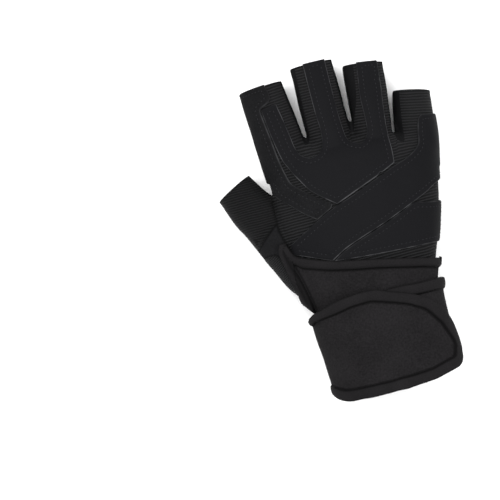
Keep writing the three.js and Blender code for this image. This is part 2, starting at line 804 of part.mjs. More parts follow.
const topTape = cuffRoomInside(0).subtract(blockOver([
  ...planPoints(CUFF_TOP, 0, -cuffTapeWidth),
  new THREE.Vector2(0.6 * palmWidth, -40),
  new THREE.Vector2(-0.52 * palmWidth, -40),
]));
const sideLine = planPoints(CUFF_SIDE, cuffSideTapeWidth, 0);
const sideBlock = cuffRoomInside(0).subtract(blockOver([
  ...sideLine,
  new THREE.Vector2(reach, sideLine[sideLine.length - 1].y),
  new THREE.Vector2(reach, sideLine[0].y),
]));
const cuffTopTape = largest(overCuff.intersect(topTape));
const topTapeGrown = cuffRoomInside(-1).subtract(blockOver([
  ...planPoints(CUFF_TOP, 0, -cuffTapeWidth - clearance),
  new THREE.Vector2(0.6 * palmWidth, -40),
  new THREE.Vector2(-0.52 * palmWidth, -40),
]));
const cuffSideTape = largest(overCuff.intersect(sideBlock).subtract(topTapeGrown));

// Wrist wrap: one strap, round the wrist and over itself on the back
const endRoom = (inTop, inLow) => {
  const top = planPoints(WRAP_END_TOP, 0, -inTop).map((p) => new THREE.Vector2(p.x - 0.4 * inTop * (p.x > 0), p.y));
  const low = planPoints(WRAP_LOW, 0, inLow).slice(1);
  const kept = low.map((p) => new THREE.Vector2(p.x - inLow * (p.x > 30), p.y));
  return blockOver([...top, ...kept]);
};
const underPrism = (inTop) => blockOver(withSides(planPoints(WRAP_UNDER_TOP, 0, -inTop), -40));
const palmPrism = (inTop) => blockOver(withSides(planPoints(WRAP_PALM_TOP, 0, -inTop), -40));
const lowKeep = (inLow) => wristCut(inLow);
const wrapSkin = (low, high) => layer(wristForm, low, high);
const turn = tapeTurn + clearance;
const aboveSeam = seamRoom(true, 0);
const belowSeam = seamRoom(false, 0);
const ring = wrapSkin(wrapLow, wrapHigh)
  .intersect(lowKeep(turn))
  .intersect(underPrism(turn).intersect(aboveSeam).add(palmPrism(turn).intersect(belowSeam)));
const flap = wrapSkin(flapLow, flapHigh)
  .intersect(lowKeep(turn))
  .intersect(endRoom(turn, turn))
  .intersect(aboveSeam);
const bridge = wrapSkin(wrapHigh - 0.5, flapHigh)
  .intersect(lowKeep(turn))
  .intersect(endRoom(turn, turn))
  .intersect(aboveSeam)
  .intersect(seamRoom(false, 4))
  .intersect(blockOver([
    new THREE.Vector2(-reach, -0.1 * handLength),
    new THREE.Vector2(-0.2 * palmWidth, -0.1 * handLength),
    new THREE.Vector2(-0.2 * palmWidth, 0.43 * handLength),
    new THREE.Vector2(-reach, 0.43 * handLength),
  ]));
const wristWrap = largest(ring.add(flap).add(bridge));

// Tape on the wrap's edges
const flapTapeBand = endRoom(0, 0).subtract(endRoom(wrapTopTapeWidth, wrapLowTapeWidth));
const flapTape = largest(
  wrapSkin(flapHigh + clearance, flapTapeHigh)
    .add(wrapSkin(flapLow, flapTapeHigh).subtract(endRoom(tapeTurn, tapeTurn)))
    .intersect(flapTapeBand)
    .intersect(lowKeep(0))
    .intersect(above),
);
const palmTapeTop = palmPrism(0).subtract(palmPrism(wrapTopTapeWidth));
const palmTapeLow = lowKeep(0).subtract(lowKeep(wrapLowTapeWidth));
const palmSkin = wrapSkin(wrapHigh + clearance, wrapTapeHigh).intersect(below);
const palmEdgeTop = wrapSkin(wrapLow, wrapTapeHigh).intersect(below).subtract(palmPrism(tapeTurn));
const palmEdgeLow = wrapSkin(wrapLow, wrapTapeHigh).intersect(below).subtract(lowKeep(tapeTurn));
const palmTopTape = largest(palmSkin.add(palmEdgeTop).intersect(palmTapeTop));
const palmLowTape = largest(palmSkin.add(palmEdgeLow).intersect(palmTapeLow));
const rightHalf = blockOver([
  new THREE.Vector2(0.04 * palmWidth, -0.1 * handLength),
  new THREE.Vector2(reach, -0.1 * handLength),
  new THREE.Vector2(reach, 0.43 * handLength),
  new THREE.Vector2(0.04 * palmWidth, 0.43 * handLength),
]);
const underTape = largest(
  wrapSkin(wrapHigh + clearance, wrapTapeHigh)
    .add(wrapSkin(wrapLow, wrapTapeHigh).subtract(underPrism(tapeTurn)))
    .intersect(underPrism(0).subtract(underPrism(wrapTopTapeWidth)))
    .intersect(above)
    .intersect(rightHalf)
    .subtract(endRoom(-clearance, 0)),
);

// Pads under the palm
const underPalm = gripLayer.intersect(below);
const pads = {};
for (const [name, rows] of Object.entries({ ...GRIP_BARS, ...HEEL_PADS })) {
  pads[name] = largest(underPalm.intersect(blockOver(planPoints(rows))));
}
function ovalBlock(x, y, wide, long, turned) {
  const shape = new THREE.Shape();
  const angle = THREE.MathUtils.degToRad(turned);
  shape.absellipse(x, y, wide / 2, long / 2, 0, 2 * Math.PI, false, angle);
  return blockOver(shape.getPoints(10).slice(0, -1));
}
for (const dot of GRIP_DOTS) {
  const block = ovalBlock(dot.across * palmWidth, dot.along * handLength, dotWidth, dotLength, dot.turn);
  pads[dot.name] = largest(underPalm.intersect(block));
}

// Pull tabs, laid along the undersides of two fingers
const outerForm = new THREE.Mesh(geometryOf(handForm(0, 0)));
const lookUp = new THREE.Raycaster();
function undersideAt(x, y) {
  lookUp.set(new THREE.Vector3(x, y, -reach), new THREE.Vector3(0, 0, 1));
  return lookUp.intersectObject(outerForm)[0].point.z;
}
const tabs = {};
for (const tab of PULL_TABS) {
  const angle = THREE.MathUtils.degToRad(tab.turn);
  const along = new THREE.Vector2(Math.sin(angle), -Math.cos(angle));
  const side = new THREE.Vector2(Math.cos(angle), Math.sin(angle));
  const top = new THREE.Vector2(tab.across * palmWidth, tab.along * handLength).addScaledVector(along, tabInset);
  const place = (wide, down) => top.clone().addScaledVector(side, wide).addScaledVector(along, down);
  const half = tabWidth / 2;
  const round = tabLength - tabInset - half;
  const points = [place(half, 0), place(-half, 0)];
  for (let step = 0; step <= 8; step += 1) {
    const bend = Math.PI - (step / 8) * Math.PI;
    points.push(place(half * Math.cos(bend), round + half * Math.sin(bend)));
  }
  const ordered = THREE.ShapeUtils.area(points) < 0 ? points.reverse() : points;
  const flat = new THREE.ExtrudeGeometry(new THREE.Shape(ordered), { depth: strapThickness, bevelEnabled: false });
  tabs[tab.name] = solidOf(flat)
    .refineToLength(tabFacet)
    .warp((corner) => {
      corner[2] += undersideAt(corner[0], corner[1]) - strapHigh;
    });
}

// All pieces with their materials
const PIECES = [
  ["palm_panel", palmPanel, "suede"],
  ["back_panel", backPanel, "ribbed"],
  ["thumb_panel", thumbPanel, "ribbed"],
  ["thumb_gusset", gusset, "suede"],
  ["heel_side_strip", heelStrip, "ribbed"],
  ...Object.entries(sideSolids).map(([name, solid]) => [name, solid, "side"]),
  ["knuckle_strap", straps.knuckle_strap, "strap"],
  ["diagonal_strap", straps.diagonal_strap, "strap"],
  ["side_strap", straps.side_strap, "strap"],
  ["index_side_panel", straps.index_side_panel, "suede"],
  ["cuff_band", cuffBand, "cuff"],
  ["cuff_top_tape", cuffTopTape, "tape"],
  ["cuff_side_tape", cuffSideTape, "tape"],
  ["wrist_wrap", wristWrap, "cuff"],
  ["wrap_end_tape", flapTape, "tape"],
  ["wrap_under_tape", underTape, "tape"],
  ["wrap_palm_top_tape", palmTopTape, "tape"],
  ["wrap_palm_low_tape", palmLowTape, "tape"],
  ...Object.entries(pads).map(([name, solid]) => [name, solid, "grip"]),
  ...Object.entries(tabs).map(([name, solid]) => [name, solid, "suede"]),
];

// The floor flattens what rests on it
const floorRoom = solidOf(new THREE.BoxGeometry(4 * reach, 6 * reach, 2 * reach).translate(0, 0, reach));

const glove = new THREE.Group();
glove.name = "weightlifting_glove";
const meshes = PIECES.map(([name, solid, material]) => {
  const whole = solid.intersect(floorRoom);
  const tolerance = whole.numTri() > smallPiece ? facetTolerance : facetTolerance / 5;
  const kept = largest(whole.simplify(tolerance));
  const mesh = new THREE.Mesh(geometryOf(kept), new THREE.MeshStandardMaterial(MATERIALS[material]));
  mesh.name = name;
  glove.add(mesh);
  return mesh;
});

// Origin at the middle of the footprint
const extent = new THREE.Box3().setFromObject(glove);
const middle = extent.getCenter(new THREE.Vector3());
for (const mesh of meshes) {
  mesh.geometry.translate(-middle.x, -middle.y, -extent.min.z);
  mesh.geometry.computeVertexNormals();
}

export default glove;
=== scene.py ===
"""Looks of the weightlifting glove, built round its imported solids."""
import math

import bmesh
import bpy
import numpy as np
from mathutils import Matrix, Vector, noise
from mathutils.bvhtree import BVHTree
from mathutils.geometry import delaunay_2d_cdt
from mathutils.interpolate import poly_3d_calc


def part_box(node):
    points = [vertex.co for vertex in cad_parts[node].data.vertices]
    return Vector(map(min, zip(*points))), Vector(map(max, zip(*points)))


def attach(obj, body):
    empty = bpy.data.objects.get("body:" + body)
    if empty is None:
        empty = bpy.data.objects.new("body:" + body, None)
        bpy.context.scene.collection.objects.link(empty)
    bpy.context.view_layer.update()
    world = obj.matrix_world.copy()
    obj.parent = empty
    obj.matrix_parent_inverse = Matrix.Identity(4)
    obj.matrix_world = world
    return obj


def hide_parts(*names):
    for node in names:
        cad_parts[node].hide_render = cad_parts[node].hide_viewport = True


bl_info = {
    "name": "Weightlifting Glove",
    "version": (1, 0, 0),
    "blender": (4, 5, 0),
    "location": "3D View > Sidebar > Glove",
    "description": "Builds the visible cloth, straps, stitches and pads of a fingerless training glove",
    "category": "Add Mesh",
}

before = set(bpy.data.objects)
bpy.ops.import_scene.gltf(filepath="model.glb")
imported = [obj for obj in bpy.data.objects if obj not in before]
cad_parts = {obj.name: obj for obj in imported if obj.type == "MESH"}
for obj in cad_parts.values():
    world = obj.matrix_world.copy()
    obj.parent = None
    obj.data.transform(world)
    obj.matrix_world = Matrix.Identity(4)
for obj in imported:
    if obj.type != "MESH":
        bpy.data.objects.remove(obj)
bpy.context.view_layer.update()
MM = 0.001
LOWEST = 0.00005

# The tables below are in the plan frame: its origin is at the wrist end's middle, +X runs to the
# little finger, +Y to the fingers and +Z out of the back of the hand. Lengths there are millimetres,
# and across and along are shares of the palm's width and the hand's length.


class GloveSizes(bpy.types.PropertyGroup):
    """Sizes of the glove, in metres."""

    palm_width: bpy.props.FloatProperty(
        name="Palm width", description="Across the knuckles", default=0.098, unit="LENGTH")
    hand_length: bpy.props.FloatProperty(
        name="Hand length", description="Wrist end to middle finger end", default=0.186, unit="LENGTH")
    palm_height: bpy.props.FloatProperty(
        name="Palm height", description="Thickness of the filled palm", default=0.038, unit="LENGTH")
    wrist_width: bpy.props.FloatProperty(
        name="Wrist width", description="Width of the hand form at the wrist", default=0.065, unit="LENGTH")
    wrist_height: bpy.props.FloatProperty(
        name="Wrist height", description="Height of the hand form at the wrist", default=0.0356,
        unit="LENGTH")
    finger_width: bpy.props.FloatProperty(
        name="Finger width", description="Width of a finger end", default=0.025, unit="LENGTH")
    finger_height: bpy.props.FloatProperty(
        name="Finger height", description="Height of a finger end", default=0.021, unit="LENGTH")
    thumb_width: bpy.props.FloatProperty(
        name="Thumb width", description="Width of the thumb end", default=0.024, unit="LENGTH")
    thumb_height: bpy.props.FloatProperty(
        name="Thumb height", description="Height of the thumb end", default=0.0235, unit="LENGTH")
    shell_wall: bpy.props.FloatProperty(
        name="Cloth wall", description="Thickness of the hand's cloth", default=0.0014, unit="LENGTH")
    strap_thickness: bpy.props.FloatProperty(
        name="Strap thickness", description="Thickness of a leather strap", default=0.0012, unit="LENGTH")
    cuff_thickness: bpy.props.FloatProperty(
        name="Cuff thickness", description="Thickness of the wrist band", default=0.0018, unit="LENGTH")
    wrap_thickness: bpy.props.FloatProperty(
        name="Wrap thickness", description="Thickness of the wrist wrap", default=0.002, unit="LENGTH")
    tape_thickness: bpy.props.FloatProperty(
        name="Tape thickness", description="Thickness of the folded edge tape", default=0.0008, unit="LENGTH")
    voxel: bpy.props.FloatProperty(
        name="Mesh size", description="Mesh size of the hand form", default=0.0008, unit="LENGTH")
    rib_pitch: bpy.props.FloatProperty(
        name="Rib pitch", description="Distance between ribs of the stretch knit", default=0.00162,
        unit="LENGTH")
    stitch_pitch: bpy.props.FloatProperty(
        name="Stitch pitch", description="Distance between stitches", default=0.0024, unit="LENGTH")


class GloveColours(bpy.types.PropertyGroup):
    """Colours of the glove, as sRGB hex values."""

    suede: bpy.props.StringProperty(name="Suede", description="Brushed palm suede", default="121213")
    knit: bpy.props.StringProperty(name="Knit", description="Ribbed stretch knit", default="151516")
    side: bpy.props.StringProperty(
        name="Side cloth", description="Cloth between the fingers", default="0a0a0b")
    strap: bpy.props.StringProperty(name="Strap", description="Synthetic leather", default="0c0c0e")
    cuff: bpy.props.StringProperty(name="Cuff", description="Brushed webbing", default="171617")
    tape: bpy.props.StringProperty(name="Tape", description="Folded edge tape", default="161516")
    grip: bpy.props.StringProperty(name="Grip", description="Silicone print", default="050506")
    thread: bpy.props.StringProperty(name="Thread", description="Stitching thread", default="242426")
    # Colour of the cut edges: partly their own lighter colour, partly painted highlight.
    cut_edge_and_highlight: bpy.props.StringProperty(name="Cut edge", description="Raw edge of the leather", default="4c4c4e")
    floor: bpy.props.StringProperty(name="Floor", description="Stage floor", default="fbfbfb")


# Hand sections
PALM_ROWS = [
    # left, left along, right, right along, low, high, measured on the wrist
    (-0.46, -0.06, 0.508, -0.06, 0.146, 1.146, True),
    (-0.474, 0.065, 0.506, 0.065, 0.146, 1.146, True),
    (-0.495, 0.172, 0.502, 0.172, 0.146, 1.146, True),
    (-0.518, 0.269, 0.517, 0.269, 0.146, 1.152, True),
    (-0.388, 0.333, 0.367, 0.328, 0.142, 1.092, False),
    (-0.429, 0.419, 0.412, 0.398, 0.147, 1.113, False),
    (-0.464, 0.527, 0.466, 0.505, 0.147, 1.121, False),
    (-0.469, 0.602, 0.502, 0.613, 0.137, 1.095, False),
    (-0.468, 0.667, 0.524, 0.683, 0.121, 1.042, False),
    (-0.472, 0.731, 0.527, 0.715, 0.121, 0.961, False),
    (-0.469, 0.785, 0.515, 0.728, 0.197, 0.816, False),
    (-0.449, 0.809, 0.48, 0.734, 0.316, 0.658, False),
]
FINGER_ROWS = {
    # middle, along, width, underside, height, skew
    "index": [
        (-0.327, 0.664, 1.09, 8, 1.24, 6), (-0.344, 0.798, 1.115, 4.6, 1.34, 6),
        (-0.384, 0.964, 0.955, 1.6, 1, 6)],
    "middle": [
        (-0.069, 0.677, 1.02, 8, 1.29, 0), (-0.07, 0.796, 1.105, 4.8, 1.39, 0.5),
        (-0.0755, 1, 1.024, 1.5, 0.98, 1)],
    "ring": [
        (0.173, 0.671, 1.0, 8, 1.26, -5), (0.193, 0.789, 1.02, 4.6, 1.35, -5.5),
        (0.219, 0.966, 0.98, 1.5, 0.97, -6)],
    "little": [
        (0.402, 0.626, 0.88, 8, 1.19, -8), (0.432, 0.739, 0.912, 4.4, 1.24, -9),
        (0.458, 0.853, 0.85, 1.6, 0.93, -11)],
}
THUMB_ROWS = [
    # middle, along, width, underside, height, skew
    (-0.15, 0.242, 1.2, 8, 1.11, 12),
    (-0.212, 0.312, 1.47, 6, 1.19, 20),
    (-0.316, 0.392, 1.6, 4, 1.23, 28),
    (-0.41, 0.484, 1.58, 2.6, 1.21, 32),
    (-0.522, 0.56, 1.28, 1.8, 1.11, 32),
    (-0.617, 0.626, 1.07, 1.6, 1.04, 31),
    (-0.674, 0.687, 0.94, 1.5, 1, 29),
]
SEAM_ROWS = [(-0.3, 0.6), (0.33, 0.6), (0.54, 0.59), (0.69, 0.54), (0.8, 0.46), (0.97, 0.31), (1.2, 0.28)]
# Degrees that an opening leans back, roundness of the sections, and how many sections and facets
OPENING_LEAN = 4
SECTION_POWER = 2.3
PALM_MESH = (60, 72)
FINGER_MESH = (30, 44)
# Millimetres: longer fingers of worn cloth, and how far the closed form runs past its openings
FINGER_SPRING = 1.2
PAST_OPENINGS = 7.0
PAST_WRIST = 8.0
FORKS = {
    # gaps between neighbouring fingers, wider by the mesh size than the real gap
    "index_middle": [(-0.214, 0.79), (-0.194, 0.79), (-0.204, 1.075), (-0.294, 1.075)],
    "middle_ring": [(0.062, 0.808), (0.082, 0.808), (0.114, 1.075), (0.045, 1.075)],
    "ring_little": [
        (0.288, 0.742), (0.308, 0.742), (0.332, 0.808), (0.378, 0.914), (0.43, 1.075), (0.367, 1.075),
        (0.338, 0.957), (0.303, 0.81)],
}
CREASES = [
    # across, along of both ends, depth and reach in millimetres, side (1 back, -1 palm)
    ((-0.391, 0.581), (-0.252, 0.489), 0.9, 3.0, -1),
    ((-0.252, 0.489), (-0.225, 0.448), 0.9, 3.0, -1),
    ((-0.33, 0.765), (0.3, 0.75), 0.5, 3.5, -1),
    ((-0.66, 0.502), (-0.492, 0.554), 1.0, 1.6, 1),
    ((-0.56, 0.496), (-0.5, 0.53), 0.5, 1.6, 1),
    ((-0.437, 0.25), (-0.437, 0.45), 0.6, 1.0, 1),
    ((-0.437, 0.45), (-0.478, 0.53), 0.6, 1.0, 1),
    ((-0.478, 0.53), (-0.478, 0.62), 0.6, 1.0, 1),
]
UNEVEN = [
    # size of the waves, height, offset
    (17.0, 0.45, (0, 0, 0)),
    (6.5, 0.14, (9, 3, 5)),
]

# Where the back turns down over the hand's edges, and how far round the turn is
LEFT_EDGE = [
    (-0.47, 0.5), (-0.465, 0.527), (-0.469, 0.602), (-0.468, 0.667), (-0.472, 0.731), (-0.486, 0.79),
    (-0.505, 0.957), (-0.51, 1.02),
]
TURN_START = 11.0
TURN_ROUND = 14.5
THUMB_FORK = 126
WRIST_ROUND = 33.0
WRIST_AXIS = (0.8, 22.9)
STEEPEST = 1.55
FURTHEST_TURN = 1.52
FAR = 80
BESIDE_THUMB = 16

# Openings: reach across past the section and along it, and the wrist's plane
FINGER_REACH = (2, 22)
WRIST_PLANE = (0, 2.5, 20)
WRIST_REACH = (80, 30)

# Cloth seams: the thumb's room across and along, and how far below the side seam cloths reach
THUMB_EDGE = -0.478
THUMB_EDGE_STEP = 4
THUMB_ALONG = (0.45, 0.53, 0.72, 0.78)
THUMB_LOW = -0.26
SIDE_LOW = -0.1
SEAM_OVERLAP = (0.35, 0.4)

# Ribs: their tilt in radians, and how much tighter they are on the thumb and the heel
BACK_TILT = 0.04
HEEL_TILT = 0.55
THUMB_TIGHT = 1.17
HEEL_TIGHT = 1.45

# Outlines
KNUCKLE_STRAP = [
    (-0.422, 0.9), (-0.332, 0.91), (-0.312, 0.855), (-0.295, 0.802), (-0.272, 0.748), (-0.21, 0.723),
    (-0.142, 0.736), (-0.116, 0.782), (-0.122, 0.861), (-0.125, 1.04), (0.003, 1.04), (0.003, 0.875),
    (0.008, 0.8), (0.026, 0.751), (0.098, 0.732), (0.142, 0.757), (0.152, 0.793), (0.155, 0.873),
    (0.186, 1.0), (0.301, 1.0), (0.288, 0.903), (0.26, 0.78), (0.258, 0.689), (0.253, 0.652),
    (0.172, 0.632), (0.158, 0.633), (0.142, 0.625), (0.079, 0.611), (-0.12, 0.568), (-0.197, 0.599),
    (-0.258, 0.629), (-0.311, 0.674), (-0.345, 0.707), (-0.368, 0.733), (-0.395, 0.8),
]
KNUCKLE_SHARP = (0, 1, 9, 10, 18, 19, 23, 28)
DIAGONAL_STRAP = [
    (0.66, 0.772), (0.47, 0.778), (0.45, 0.764), (0.432, 0.731), (0.41, 0.69), (0.34, 0.662), (0.25, 0.644),
    (0.0, 0.589), (-0.177, 0.553), (-0.325, 0.511), (-0.425, 0.48), (-0.43, 0.45), (-0.218, 0.404),
    (-0.119, 0.434), (0.155, 0.489), (0.385, 0.542), (0.448, 0.562), (0.49, 0.572), (0.66, 0.572),
]
DIAGONAL_SHARP = (0, 1, 10, 11, 12, 18)
SIDE_STRAP = [
    (0.66, 0.511), (0.42, 0.513), (0.36, 0.518), (0.308, 0.5218), (0.211, 0.4995), (0.093, 0.4743),
    (-0.12, 0.4314), (-0.213, 0.4025), (0.005, 0.395), (0.3, 0.391), (0.66, 0.39),
]
SIDE_SHARP = (0, 7, 10)
INDEX_SIDE = [
    (-0.7, 0.985), (-0.383, 1.0), (-0.36, 0.95), (-0.355, 0.932), (-0.374, 0.918), (-0.42, 0.905),
    (-0.426, 0.9), (-0.406, 0.821), (-0.389, 0.751), (-0.366, 0.69), (-0.338, 0.655), (-0.211, 0.597),
    (-0.146, 0.572), (-0.16, 0.56), (-0.249, 0.535), (-0.323, 0.565), (-0.394, 0.602), (-0.442, 0.628),
    (-0.455, 0.65), (-0.458, 0.676), (-0.7, 0.7),
]
INDEX_SHARP = (0, 1, 12, 13, 14, 19, 20)
CUFF_TOP = [
    (-0.486, 0.486), (-0.452, 0.481), (-0.415, 0.445), (-0.301, 0.417), (-0.157, 0.396), (0.051, 0.377),
    (0.259, 0.355), (0.388, 0.339), (0.6, 0.32),
]
CUFF_SIDE = [
    (-0.486, 0.486), (-0.496, 0.468), (-0.488, 0.437), (-0.46, 0.376), (-0.43, 0.32), (-0.404, 0.269),
    (-0.39, 0.2),
]
WRAP_END_TOP = [
    (-0.7, 0.25), (-0.422, 0.262), (-0.319, 0.276), (-0.204, 0.29), (-0.094, 0.294), (-0.03, 0.291),
    (0.061, 0.275), (0.161, 0.256), (0.267, 0.227), (0.34, 0.186), (0.374, 0.143), (0.393, 0.088),
    (0.395, 0.055),
]
WRAP_CORNER = [(0.392, 0.055), (0.39, 0.034), (0.375, 0.018), (0.347, 0.009)]
WRAP_UNDER_TOP = [(-0.7, 0.225), (-0.3, 0.25), (0.054, 0.284), (0.227, 0.281), (0.381, 0.285), (0.7, 0.285)]
WRAP_PALM_TOP = [
    (-0.7, 0.25), (-0.386, 0.24), (-0.268, 0.232), (-0.068, 0.232), (0.113, 0.247), (0.302, 0.27),
    (0.42, 0.283), (0.7, 0.286),
]
WRAP_LOW = [
    (-0.7, 0.02), (-0.39, 0.012), (-0.357, -0.009), (-0.307, -0.019), (-0.122, -0.02), (0.042, -0.017),
    (0.208, -0.009), (0.347, 0.009), (0.395, 0.032), (0.7, 0.05),
]
THUMB_SEAM = [(-0.437, 0.25), (-0.437, 0.45), (-0.478, 0.53), (-0.478, 0.64)]
THUMB_JOIN = [(-0.8, 0.4), (-0.622, 0.484), (-0.554, 0.521), (-0.488, 0.55), (-0.3, 0.577)]
HEEL_JOIN = [(-0.75, 0.449), (-0.608, 0.455), (-0.532, 0.46), (-0.506, 0.446), (-0.465, 0.365), (-0.41, 0.25)]
SIDE_PANELS = {
    "side_cloth_index_middle": [
        (-0.282, 1.02), (-0.256, 0.9), (-0.226, 0.8), (-0.214, 0.768), (-0.19, 0.78), (-0.186, 0.85),
        (-0.178, 1.06)],
    "side_cloth_middle_ring": [
        (0.036, 1.06), (0.045, 0.9), (0.052, 0.8), (0.068, 0.775), (0.088, 0.81), (0.132, 0.882),
        (0.166, 1.02)],
    "side_cloth_ring_little": [
        (0.34, 1.02), (0.318, 0.88), (0.296, 0.77), (0.31, 0.72), (0.338, 0.71), (0.356, 0.77), (0.4, 0.92)],
}
GRIP_PADS = {
    "grip_bar_upper": [
        (-0.39, 0.728), (-0.313, 0.738), (-0.206, 0.74), (-0.07, 0.729), (0.095, 0.704), (0.258, 0.675),
        (0.384, 0.645), (0.44, 0.615), (0.438, 0.6), (0.361, 0.605), (0.233, 0.629), (0.095, 0.638),
        (-0.032, 0.666), (-0.161, 0.691), (-0.294, 0.71)],
    "grip_bar_middle": [
        (-0.376, 0.706), (-0.261, 0.693), (-0.132, 0.669), (0.026, 0.629), (0.15, 0.597), (0.28, 0.559),
        (0.337, 0.548), (0.433, 0.532), (0.445, 0.548), (0.418, 0.568), (0.359, 0.589), (0.23, 0.618),
        (0.09, 0.628), (-0.035, 0.656), (-0.165, 0.682), (-0.295, 0.7)],
    "grip_bar_lower": [
        (-0.385, 0.695), (-0.344, 0.668), (-0.253, 0.639), (-0.128, 0.605), (-0.003, 0.571), (0.123, 0.542),
        (0.255, 0.52), (0.321, 0.526), (0.265, 0.541), (0.142, 0.577), (0.021, 0.619), (-0.137, 0.659),
        (-0.265, 0.683)],
    "heel_pad_inner": [
        (-0.007, 0.497), (-0.003, 0.463), (0.014, 0.426), (0.041, 0.39), (0.077, 0.36), (0.118, 0.343),
        (0.186, 0.33), (0.224, 0.335), (0.272, 0.35), (0.18, 0.39), (0.1, 0.42), (0.05, 0.466)],
    "heel_pad_middle": [
        (0.064, 0.504), (0.098, 0.484), (0.139, 0.455), (0.197, 0.426), (0.256, 0.399), (0.285, 0.381),
        (0.247, 0.374), (0.182, 0.4), (0.122, 0.423), (0.078, 0.468)],
    "heel_pad_outer": [
        (0.307, 0.499), (0.338, 0.488), (0.36, 0.475), (0.362, 0.442), (0.344, 0.406), (0.309, 0.372),
        (0.278, 0.395), (0.232, 0.424), (0.145, 0.468), (0.088, 0.503), (0.16, 0.494), (0.249, 0.492)],
}
GRIP_DOTS = [
    # name, across, along, turn
    ("dot_index_tip", -0.385, 0.865, 6),
    ("dot_index_root", -0.371, 0.805, 6),
    ("dot_middle_tip", -0.074, 0.872, 1),
    ("dot_middle_root", -0.073, 0.82, 1),
    ("dot_ring_tip", 0.206, 0.857, -6),
    ("dot_ring_root", 0.199, 0.805, -6),
    ("dot_little", 0.438, 0.77, -9),
    ("dot_thumb_tip", -0.59, 0.59, 32),
    ("dot_thumb_root", -0.51, 0.535, 32),
]
DOT_RADII = (3.3, 4.4)
DOT_FACETS = 28
PAD_HEIGHT = 1.0
PULL_TABS = [("pull_tab_middle", -0.0755, 1.0, 1), ("pull_tab_ring", 0.219, 0.966, -6)]
TAB_HALF = 8.5
TAB_LENGTH = 12.3
TAB_INSET = 1.2
# From where to where across each finger's outlines run
FINGER_OF = {"index": (-70, -23), "middle": (-23, 7.4), "ring": (7.4, 34), "little": (34, 70)}

# Layers and tapes
GAP = 0.3
EDGE_ROWS = (0.3, 0.6, 1.0, 1.8, 3.0, 4.0)
PAD_ROWS = (0.25, 0.7)
CUFF_ROWS = (0.4, 1.0, 4.3, 4.9, 5.4, 6.0)
RING_ROWS = (0.4, 1.0)
WRAP_ROWS = (0.4, 1.0, 4.4, 5.0, 5.8, 6.4, 7.0)
# Distances from the edge of the bands of painted shade that lie on the cuff and on the wrap beside their
# tapes' inner edges
CUFF_SHADE_LINE = 5.0
WRAP_SHADE_LINE = 6.1
CUFF_TOP_TAPE = 4.9
CUFF_SIDE_TAPE = 4.4
WRAP_TAPE = 6.4
WRAP_END_TAPE = 6.0
WRAP_LOW_TAPE = 4.6
RING_HALF = 103
RING_SPAN = (4.0, 37.0)
CUFF_LOW = 34
# Degrees round the wrist from the middle of the back: where the strap starts, climbs over itself, ends
WRAP_START = -80
WRAP_RISE = (236, 268)
WRAP_END = 440

# Stitches
STITCH_INSET = 3.0
STITCH_LENGTH = 1.2
STITCH_RADIUS = 0.22

# Camera: what the picture shows, in millimetres and degrees
IMAGE_CENTRE = (-65.4, 91.7)
IMAGE_WIDTH = 285.0
IMAGE_ROLL = 13.0
LENS = 150
SENSOR = 36
GLOVE_MIDDLE = 0.025
LIGHTS = [
    # name, place, width, power
    ("key", (-0.3, 0.36, 1.05), 0.6, 11.0),
    ("fill", (0.45, -0.2, 1.0), 0.8, 7.0),
]
FLOOR_HALF = 1.5

# What the steps share while the glove is built: the hand form and what is measured on it,
# materials by name, and the threads made so far
HAND = {}
MATERIALS = {}
STITCH = {"verts": [], "faces": []}


def sizes():
    return bpy.context.scene.glove_sizes


def colours():
    return bpy.context.scene.glove_colours


def mm(name):
    """A size in millimetres."""
    return getattr(sizes(), name) / MM


def plan(row):
    """A table's place as plan millimetres."""
    return (row[0] * mm("palm_width"), row[1] * mm("hand_length"))


def shift():
    """Where the plan frame's origin lies in the row frame, read off one dot's solid."""
    low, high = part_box("dot_middle_tip")
    x, y = plan(GRIP_DOTS[2][1:3])
    return np.array([(low.x + high.x) / 2 / MM - x, (low.y + high.y) / 2 / MM - y, 0.0])


# Curves
def hermite(t):
    """Weights of start, start slope, end and end slope."""
    return 2 * t**3 - 3 * t**2 + 1, t**3 - 2 * t**2 + t, -2 * t**3 + 3 * t**2, t**3 - t**2


def spline(points, step, closed=False, sharp=()):
    """Points every step along a smooth line through points, straight into the sharp ones."""
    pts = [np.array(p, float) for p in points]
    n = len(pts)
    out = []
    for i in range(n if closed else n - 1):
        p1, p2 = pts[i], pts[(i + 1) % n]
        p0 = pts[i - 1] if (closed or i > 0) and i not in sharp else p1
        p3 = pts[(i + 2) % n] if (closed or i + 2 < n) and (i + 1) % n not in sharp else p2
        d = max(np.linalg.norm(p2 - p1), 1e-6)
        m1 = (p2 - p0) * d / max(np.linalg.norm(p1 - p0) + d, 1e-6)
        m2 = (p3 - p1) * d / max(np.linalg.norm(p3 - p2) + d, 1e-6)
        count = max(1, round(d / step))
        for k in range(count):
            a, b, c, e = hermite(k / count)
            out.append(a * p1 + b * m1 + c * p2 + e * m2)
    if not closed:
        out.append(pts[-1])
    return np.array(out)


def outline(rows, sharp=(), step=0.9):
    """A closed outline from its table."""
    return spline([plan(r) for r in rows], step, True, sharp)


def line_of(rows, step):
    """An open line from its table."""
    return spline([plan(r) for r in rows], step)


def table_of(rows):
    return np.array([plan(r) for r in rows])


def area_of(poly):
    x, y = poly[:, 0], poly[:, 1]
    return 0.5 * float(np.sum(x * np.roll(y, -1) - np.roll(x, -1) * y))


def anticlockwise(poly):
    return poly[::-1] if area_of(np.array(poly)) < 0 else poly


def edge_distance(points, poly, closed=True):
    """Distance of each point to the polygon's edges."""
    a = poly if closed else poly[:-1]
    b = np.roll(poly, -1, 0) if closed else poly[1:]
    best = np.full(len(points), 1e9)
    for s in range(0, len(points), 1500):
        p = points[s:s + 1500, None, :]
        ab = (b - a)[None]
        t = np.clip(((p - a[None]) * ab).sum(2) / np.maximum((ab**2).sum(2), 1e-9), 0, 1)
        best[s:s + 1500] = np.linalg.norm(p - a[None] - t[..., None] * ab, axis=2).min(1)
    return best


